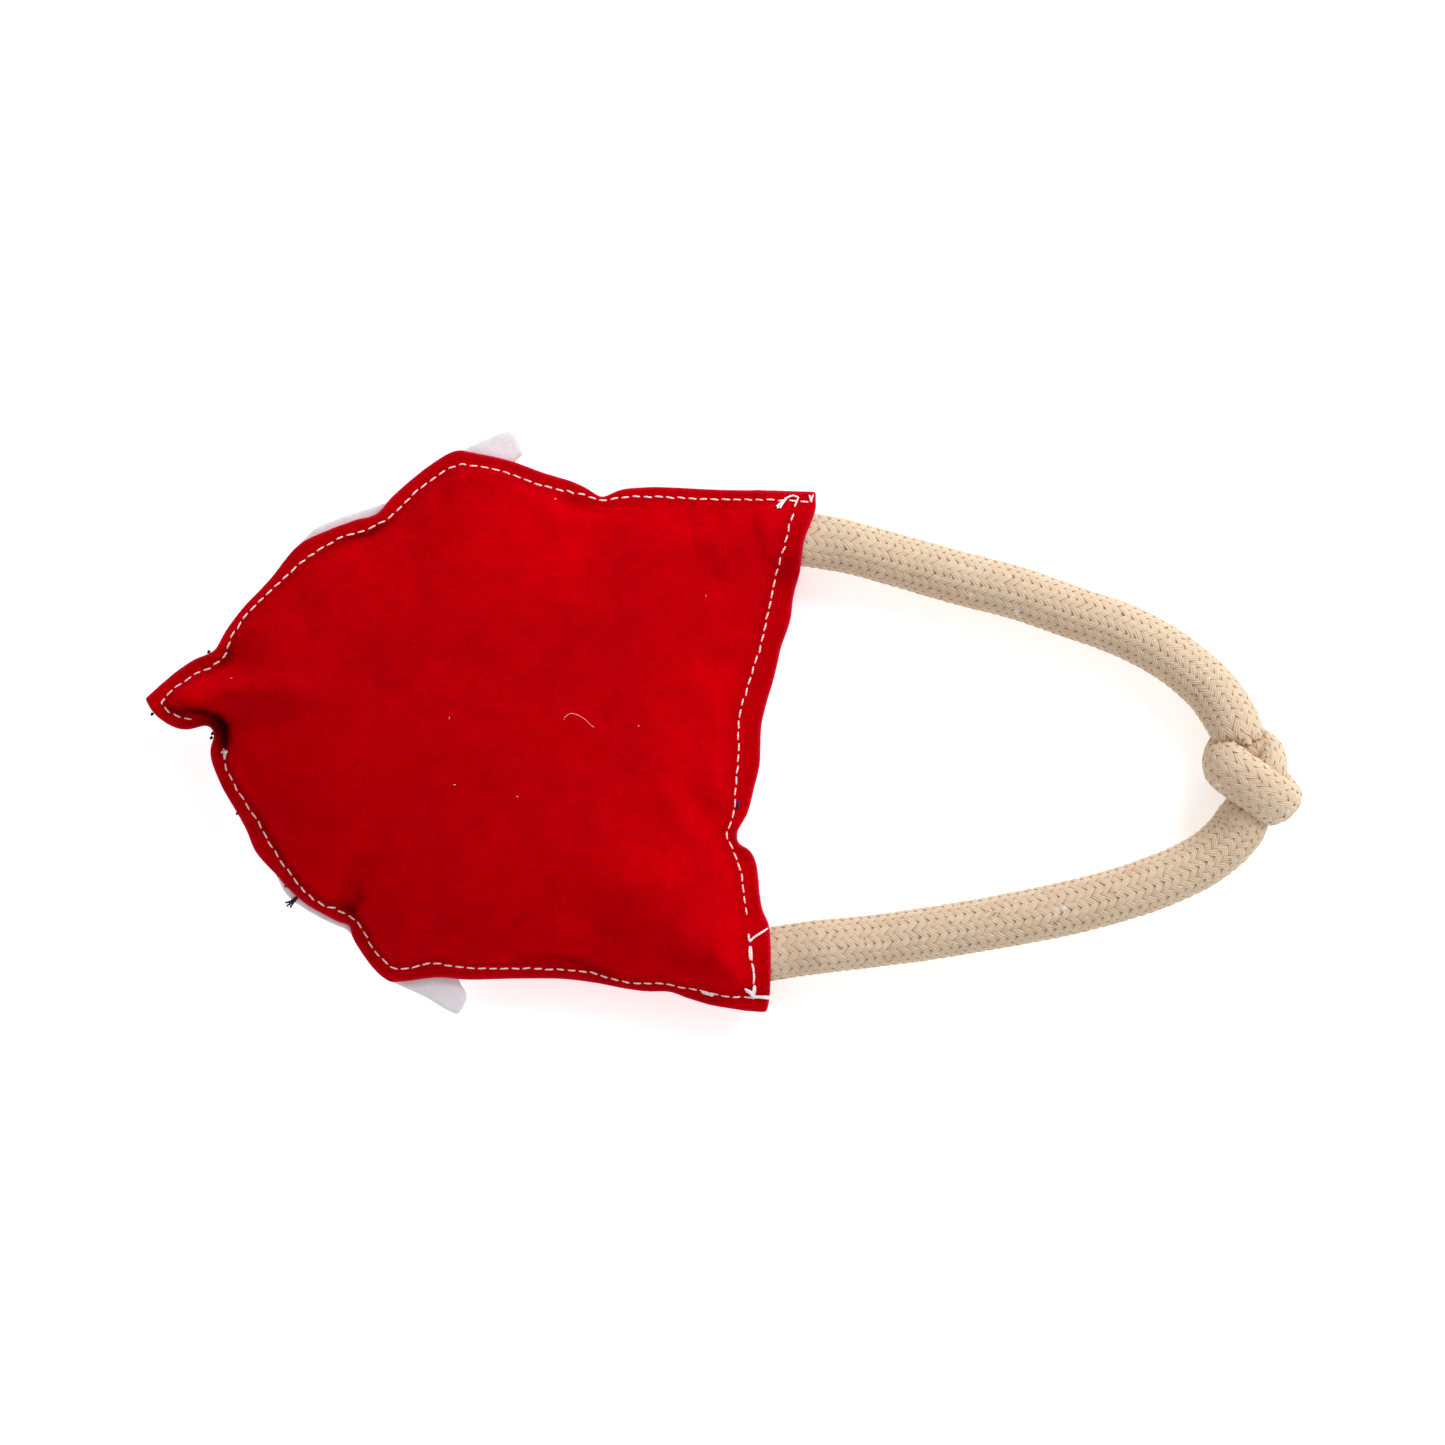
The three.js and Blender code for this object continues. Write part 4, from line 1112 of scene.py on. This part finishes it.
def make_corner_threads(back):
    """The threads left loose at the upper corner, and the hand tacking over the seam's lower end."""
    thick = THREAD * 1.25
    under = -2.2 * THREAD  # where a thread comes up through the suede
    upper = [
        [(0.0947, 0.0650, under), (0.0953, 0.0666, 0), (0.0960, 0.0682, 0.0003)],
        [(0.0960, 0.0682, 0.0003), (0.0943, 0.0687, 0.0009), (0.0925, 0.0680, 0.0012),
         (0.0911, 0.0668, 0.0011), (0.0893, 0.0652, 0.0008)],
        [(0.0925, 0.0679, 0.0010), (0.0913, 0.0664, 0.0006), (0.0903, 0.0647, 0.0004)],
        [(0.0915, 0.0670, 0.0008), (0.0903, 0.0659, 0.0010), (0.0895, 0.0646, 0.0004)],
        [(0.0998, 0.0666, under), (0.0996, 0.0678, 0.0002), (0.0993, 0.0690, 0.0002)],
        [(0.0999, 0.0667, under), (0.1001, 0.0680, 0.0003), (0.1005, 0.0691, 0.0002)],
    ]
    parts = [part for places in upper for part in laid_thread(back, places, THREAD)]
    thread_piece("upper_corner_loose_thread", parts, WHITE_THREAD_LOOK, "white_thread", "upper_corner_thread")
    lower = [
        [(0.0808, -0.0639, under), (0.0809, -0.0650, 0), (0.0812, -0.0661, 0)],
        [(0.0812, -0.0661, 0), (0.0826, -0.0648, 0.0002), (0.0845, -0.0636, 0.0002),
         (0.0867, -0.0622, under)],
        [(0.0811, -0.0675, under), (0.0811, -0.0695, 0.0003), (0.0813, -0.0718, under)],
        [(0.0815, -0.0676, under), (0.0817, -0.0696, 0.0002), (0.0818, -0.0718, under)],
        [(0.0818, -0.0726, under), (0.0823, -0.0745, 0.0001), (0.0824, -0.0755, under)],
        [(0.0823, -0.0751, under), (0.0825, -0.0768, 0.0001), (0.0824, -0.0788, under)],
        [(0.0826, -0.0792, under), (0.0823, -0.0812, 0.0003), (0.0824, -0.0838, under)],
        [(0.0829, -0.0794, under), (0.0828, -0.0812, 0.0002), (0.0824, -0.0832, under)],
        [(0.0824, -0.0831, 0.0002), (0.0816, -0.0815, 0.0008), (0.0798, -0.0805, 0.0009)],
        [(0.0823, -0.0832, 0.0002), (0.0812, -0.0818, 0.0005), (0.0801, -0.0812, 0.0004)],
        [(0.0808, -0.0834, under), (0.0838, -0.0833, 0.0002), (0.0870, -0.0836, 0.0001),
         (0.0878, -0.0836, under)],
        [(0.0815, -0.0829, under), (0.0842, -0.0830, 0.0002), (0.0868, -0.0831, 0.0002),
         (0.0878, -0.0832, under)],
    ]
    parts = [part for places in lower for part in laid_thread(back, places, thick)]
    thread_piece("lower_corner_tacking", parts, WHITE_THREAD_LOOK, "white_thread", "lower_corner_thread")
    tuft = [
        [(-0.0776, -0.0096, under), (-0.0786, -0.0088, 0.0004), (-0.0790, -0.0092, 0.0003)],
        [(-0.0776, -0.0098, under), (-0.0778, -0.0085, 0.0006), (-0.0785, -0.0081, 0.0004)],
        [(-0.0775, -0.0098, under), (-0.0770, -0.0087, 0.0004), (-0.0767, -0.0090, 0.0002)],
        [(-0.0777, -0.0110, under), (-0.0778, -0.0101, 0.0001), (-0.0777, -0.0094, 0.0001)],
    ]
    parts = [part for places in tuft for part in laid_thread(back, places, THREAD)]
    thread_piece("tip_thread_end", parts, WHITE_THREAD_LOOK, "white_thread", "tip_thread_tail")


# ---------------------------------------------------------------- felt

# Outer edge of the felt, one smooth side after another, from the inner corner of its upper tab round the tip.
FELT_SIDES = [
    [(0.0102, 0.0796), (0.0127, 0.0818)],
    [(0.0127, 0.0818), (0.0116, 0.0845), (0.0100, 0.0876), (0.0086, 0.0890)],
    [(0.0086, 0.0890), (0.0072, 0.0889), (0.0020, 0.0868), (-0.0056, 0.0832), (-0.0130, 0.0775),
     (-0.0240, 0.0690), (-0.0304, 0.0666), (-0.0358, 0.0648), (-0.0434, 0.0624), (-0.0513, 0.0587),
     (-0.0562, 0.0536), (-0.0660, 0.0395), (-0.0750, 0.0270), (-0.0815, 0.0196), (-0.0910, 0.0142),
     (-0.0990, 0.0066)],
    [(-0.0990, 0.0066), (-0.0968, 0.0018), (-0.0900, -0.0010), (-0.0820, -0.0006), (-0.0800, -0.0110),
     (-0.0734, -0.0270), (-0.0633, -0.0456), (-0.0597, -0.0524), (-0.0522, -0.0580), (-0.0452, -0.0616),
     (-0.0414, -0.0632), (-0.0355, -0.0700), (-0.0277, -0.0791)],
    [(-0.0277, -0.0791), (-0.0174, -0.0837), (-0.0091, -0.0886), (-0.0076, -0.0890)],
    [(-0.0076, -0.0890), (-0.0064, -0.0876), (-0.0050, -0.0845), (-0.0046, -0.0829), (-0.0066, -0.0795)],
]
FELT_MIDDLE = -0.0200  # how far towards the tip its inner edge runs on the middle line


def felt_outline():
    """The felt's outer edge, and its inner edge as two halves of a parabola."""
    top, bottom = np.array(FELT_SIDES[0][0]), np.array(FELT_SIDES[-1][-1])
    share = np.linspace(0, 1, 26)[1:-1]
    lower_half = [(FELT_MIDDLE + (bottom[0] - FELT_MIDDLE) * t ** 2, bottom[1] * t) for t in 1 - share]
    upper_half = [(FELT_MIDDLE + (top[0] - FELT_MIDDLE) * t ** 2, top[1] * t) for t in share]
    inner = [FELT_SIDES[-1][-1], *lower_half, (FELT_MIDDLE, 0.0), *upper_half, FELT_SIDES[0][0]]
    return np.vstack([closed_ring(FELT_SIDES, 0.0016), evenly(np.array(inner), 0.0020)[:-1]])


def make_felt(front):
    """The felt on the front: it follows the suede, stays off the floor and droops where it stands free."""
    plan, faces = flat_sheet(felt_outline(), [], 0.0022)
    seam = closed_ring(SEAM_SIDES, STITCH / 2)
    cut = closed_ring(EDGE_SIDES, 0.0008)
    beside_seam = np.exp(-(distance_to(plan, seam) / 0.003) ** 2)
    past_edge = np.where(inside_outline(plan, cut), 0, distance_to(plan, cut))
    top = np.array([height_near(front, x, y, SEAM_LEVEL, True) for x, y in plan])
    top = smoothed(top, faces, past_edge > 0, 30)
    gap = 0.0003 + 0.0008 * beside_seam
    curl = 0.0010 * noise_at(plan, 90, 4.0)
    droop = 0.10 * past_edge + 8.0 * past_edge ** 2
    heights = top - gap - droop + curl * np.clip(past_edge / 0.003, 0, 1) - FELT / 2
    heights = smoothed(heights, faces, np.ones(len(plan), bool), 1)
    heights = np.minimum(heights, top - gap - FELT / 2)
    heights = np.maximum(heights, FELT / 2 + ABOVE_FLOOR)
    felt = mesh_object("felt_applique_cloth", np.column_stack([plan, heights]), faces, FELT_LOOK)
    rounded(felt, FELT)
    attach(felt, "sack")
    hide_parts("felt_applique")
    return felt


def wound_knot(x, y, z):
    """A small knot of thread: a few close turns."""
    angle = np.linspace(0, 5 * math.pi, 40)
    size = 0.00032
    wander = 0.00018 * np.sin(1.7 * angle)
    path = np.column_stack([x + size * np.cos(angle), y + size * np.sin(angle) + wander,
                            z + np.linspace(-0.0004, 0.0004, 40)])
    return two_plies(path, THREAD * 0.8)


def make_felt_stitching(front, felt):
    """Dark hand stitching on the felt's face, the knots where it turns at the edge, and its end."""
    edge = np.vstack([smooth_curve(FELT_SIDES[2][3:]), smooth_curve(FELT_SIDES[3])])
    edge = evenly(evenly(edge, 0.004), 0.0005)
    ahead = unit(np.gradient(edge, axis=0))
    inset = 0.0030
    line = edge + inset * np.column_stack([-ahead[:, 1], ahead[:, 0]])
    line = evenly(smooth_curve(evenly(line, 0.006), 6), 0.0005)
    random.seed(5)
    parts = stitch_row(lambda x, y: height_near(felt, x, y, SEAM_LEVEL, True), line, 0.0056, THREAD, -1)
    for x, y in [(-0.0827, 0.0214), (-0.1001, 0.0025), (-0.0818, -0.0034), (-0.0821, -0.0047),
                 (-0.0743, -0.0276), (-0.0595, -0.0496)]:
        parts += wound_knot(x, y, height_near(front, x, y, SEAM_LEVEL, True) + 0.0004)
    thread_piece("felt_hand_stitching", parts, BLACK_THREAD_LOOK, "black_thread", "felt_stitching")
    level = height_near(front, -0.0563, -0.0531, SEAM_LEVEL, True) - 0.0006
    tail = [
        [(-0.0556, -0.0524, level), (-0.0574, -0.0538, level), (-0.0589, -0.0546, level - 0.0003),
         (-0.0599, -0.0548, level - 0.0008)],
        [(-0.0557, -0.0526, level), (-0.0573, -0.0542, level + 0.0003), (-0.0587, -0.0553, level),
         (-0.0594, -0.0558, level - 0.0004)],
        [(-0.0559, -0.0527, level), (-0.0570, -0.0543, level), (-0.0580, -0.0556, level - 0.0002),
         (-0.0583, -0.0563, level - 0.0005)],
    ]
    parts = [part for places in tail for part in two_plies(smooth_curve(places, 8), THREAD * 1.2)]
    thread_piece("felt_thread_end", parts, BLACK_THREAD_LOOK, "black_thread", "felt_thread_tail")


# ---------------------------------------------------------------- filling and lint

def make_filling(back, front):
    """The lumpy filling, a little inside the two panels and clear of the rope's ends."""
    seam = evenly(closed_ring(SEAM_SIDES, STITCH / 2), 0.003)
    ahead = unit(np.roll(seam, -1, axis=0) - np.roll(seam, 1, axis=0))
    inset = 0.0045
    rim = seam + inset * np.column_stack([ahead[:, 1], -ahead[:, 0]])
    rim = rim[distance_to(rim, seam) > 0.9 * inset]
    clear = 0.0135
    for end, outside in ((ROPE_UPPER[0], ROPE_UPPER[1]), (ROPE_LOWER[-1], ROPE_LOWER[-2])):
        run = np.linspace(end[:2], outside[:2], 12)
        for point in rim:
            gap = point - run[np.argmin(np.linalg.norm(run - point, axis=1))]
            size = np.linalg.norm(gap)
            if size < clear:
                away = unit(np.array(end[:2]) - np.array(outside[:2])) if size < 1e-6 else gap / size
                point += away * (clear - size)
    plan, faces = flat_sheet(rim, [], 0.004)
    on_rim = distance_to(plan, rim) < 1e-5
    rim_thickness, least_thickness = 0.0004, 0.0006
    lumps = np.array([noise.fractal(Vector((x * 60, y * 60, 9.0)), 1, 2, 3) for x, y in plan]) * 0.0008
    skin = 0.0026
    top = np.array([height_near(back, x, y, SEAM_LEVEL) for x, y in plan]) - skin + lumps
    bottom = np.array([height_near(front, x, y, SEAM_LEVEL, True) for x, y in plan]) + skin + lumps
    middle = (top + bottom) / 2
    top = np.where(on_rim, middle + rim_thickness / 2, np.maximum(top, middle + least_thickness / 2))
    bottom = np.where(on_rim, middle - rim_thickness / 2, np.minimum(bottom, middle - least_thickness / 2))
    count = len(plan)
    edges = dict.fromkeys((a, b) for face in faces for a, b in zip(face, (*face[1:], face[0])))
    border = [(a, b) for a, b in edges if (b, a) not in edges]
    points = np.vstack([np.column_stack([plan, top]), np.column_stack([plan, bottom])])
    closed = [*faces, *[tuple(count + i for i in face[::-1]) for face in faces]]
    closed += [(b, a, count + a, count + b) for a, b in border]
    filling = mesh_object("filling", points, closed, FILLING_LOOK)
    rounded(filling)
    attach(filling, "sack")
    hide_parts("stuffing")


def make_lint(back):
    """A pale hair, a scrap of blue thread and a few specks of lint on the suede."""
    hair = [(0.0258, 0.0008, 0), (0.0265, 0.0019, 0.0001), (0.0280, 0.0027, 0.0001), (0.0300, 0.0022, 0.0001),
            (0.0318, 0.0012, 0.0001), (0.0335, -0.0004, 0.0001), (0.0348, -0.0015, 0)]
    parts = laid_thread(back, hair, 0.00005)
    random.seed(3)
    for x, y in [(0.0224, 0.0676), (-0.0082, 0.0013), (0.0680, 0.0380), (-0.0067, -0.0185), (0.0480, -0.0010),
                 (-0.0745, 0.0133), (0.0120, -0.0220)]:
        turn = random.uniform(0, math.pi)
        reach = random.uniform(0.0002, 0.0004)
        dx, dy = reach * math.cos(turn), reach * math.sin(turn)
        parts += laid_thread(back, [(x - dx, y - dy, 0), (x, y, 0.0002), (x + dx, y + dy, 0)], 0.00009)
    thread_piece("lint", parts, WHITE_THREAD_LOOK, "white_thread")
    scrap = [
        [(0.0776, -0.0236, 0), (0.0779, -0.0246, 0.0005), (0.0776, -0.0256, 0.0003), (0.0778, -0.0262, 0)],
        [(0.0780, -0.0238, 0), (0.0774, -0.0247, 0.0003), (0.0780, -0.0256, 0.0005),
         (0.0776, -0.0261, 0.0002)],
    ]
    parts = [part for places in scrap for part in laid_thread(back, places, THREAD * 0.9)]
    thread_piece("blue_thread_scrap", parts, BLUE_THREAD_LOOK, "black_thread")


add_camera()
make_rope()
back_panel = make_back()
front_panel = make_front()
back_surface = surface_of(back_panel)
front_surface = surface_of(front_panel)
make_seams(back_surface, front_surface)
make_corner_threads(back_surface)
felt_piece = make_felt(front_surface)
make_felt_stitching(front_surface, surface_of(felt_piece))
make_filling(back_surface, front_surface)
make_lint(back_surface)
add_floor()
add_studio()
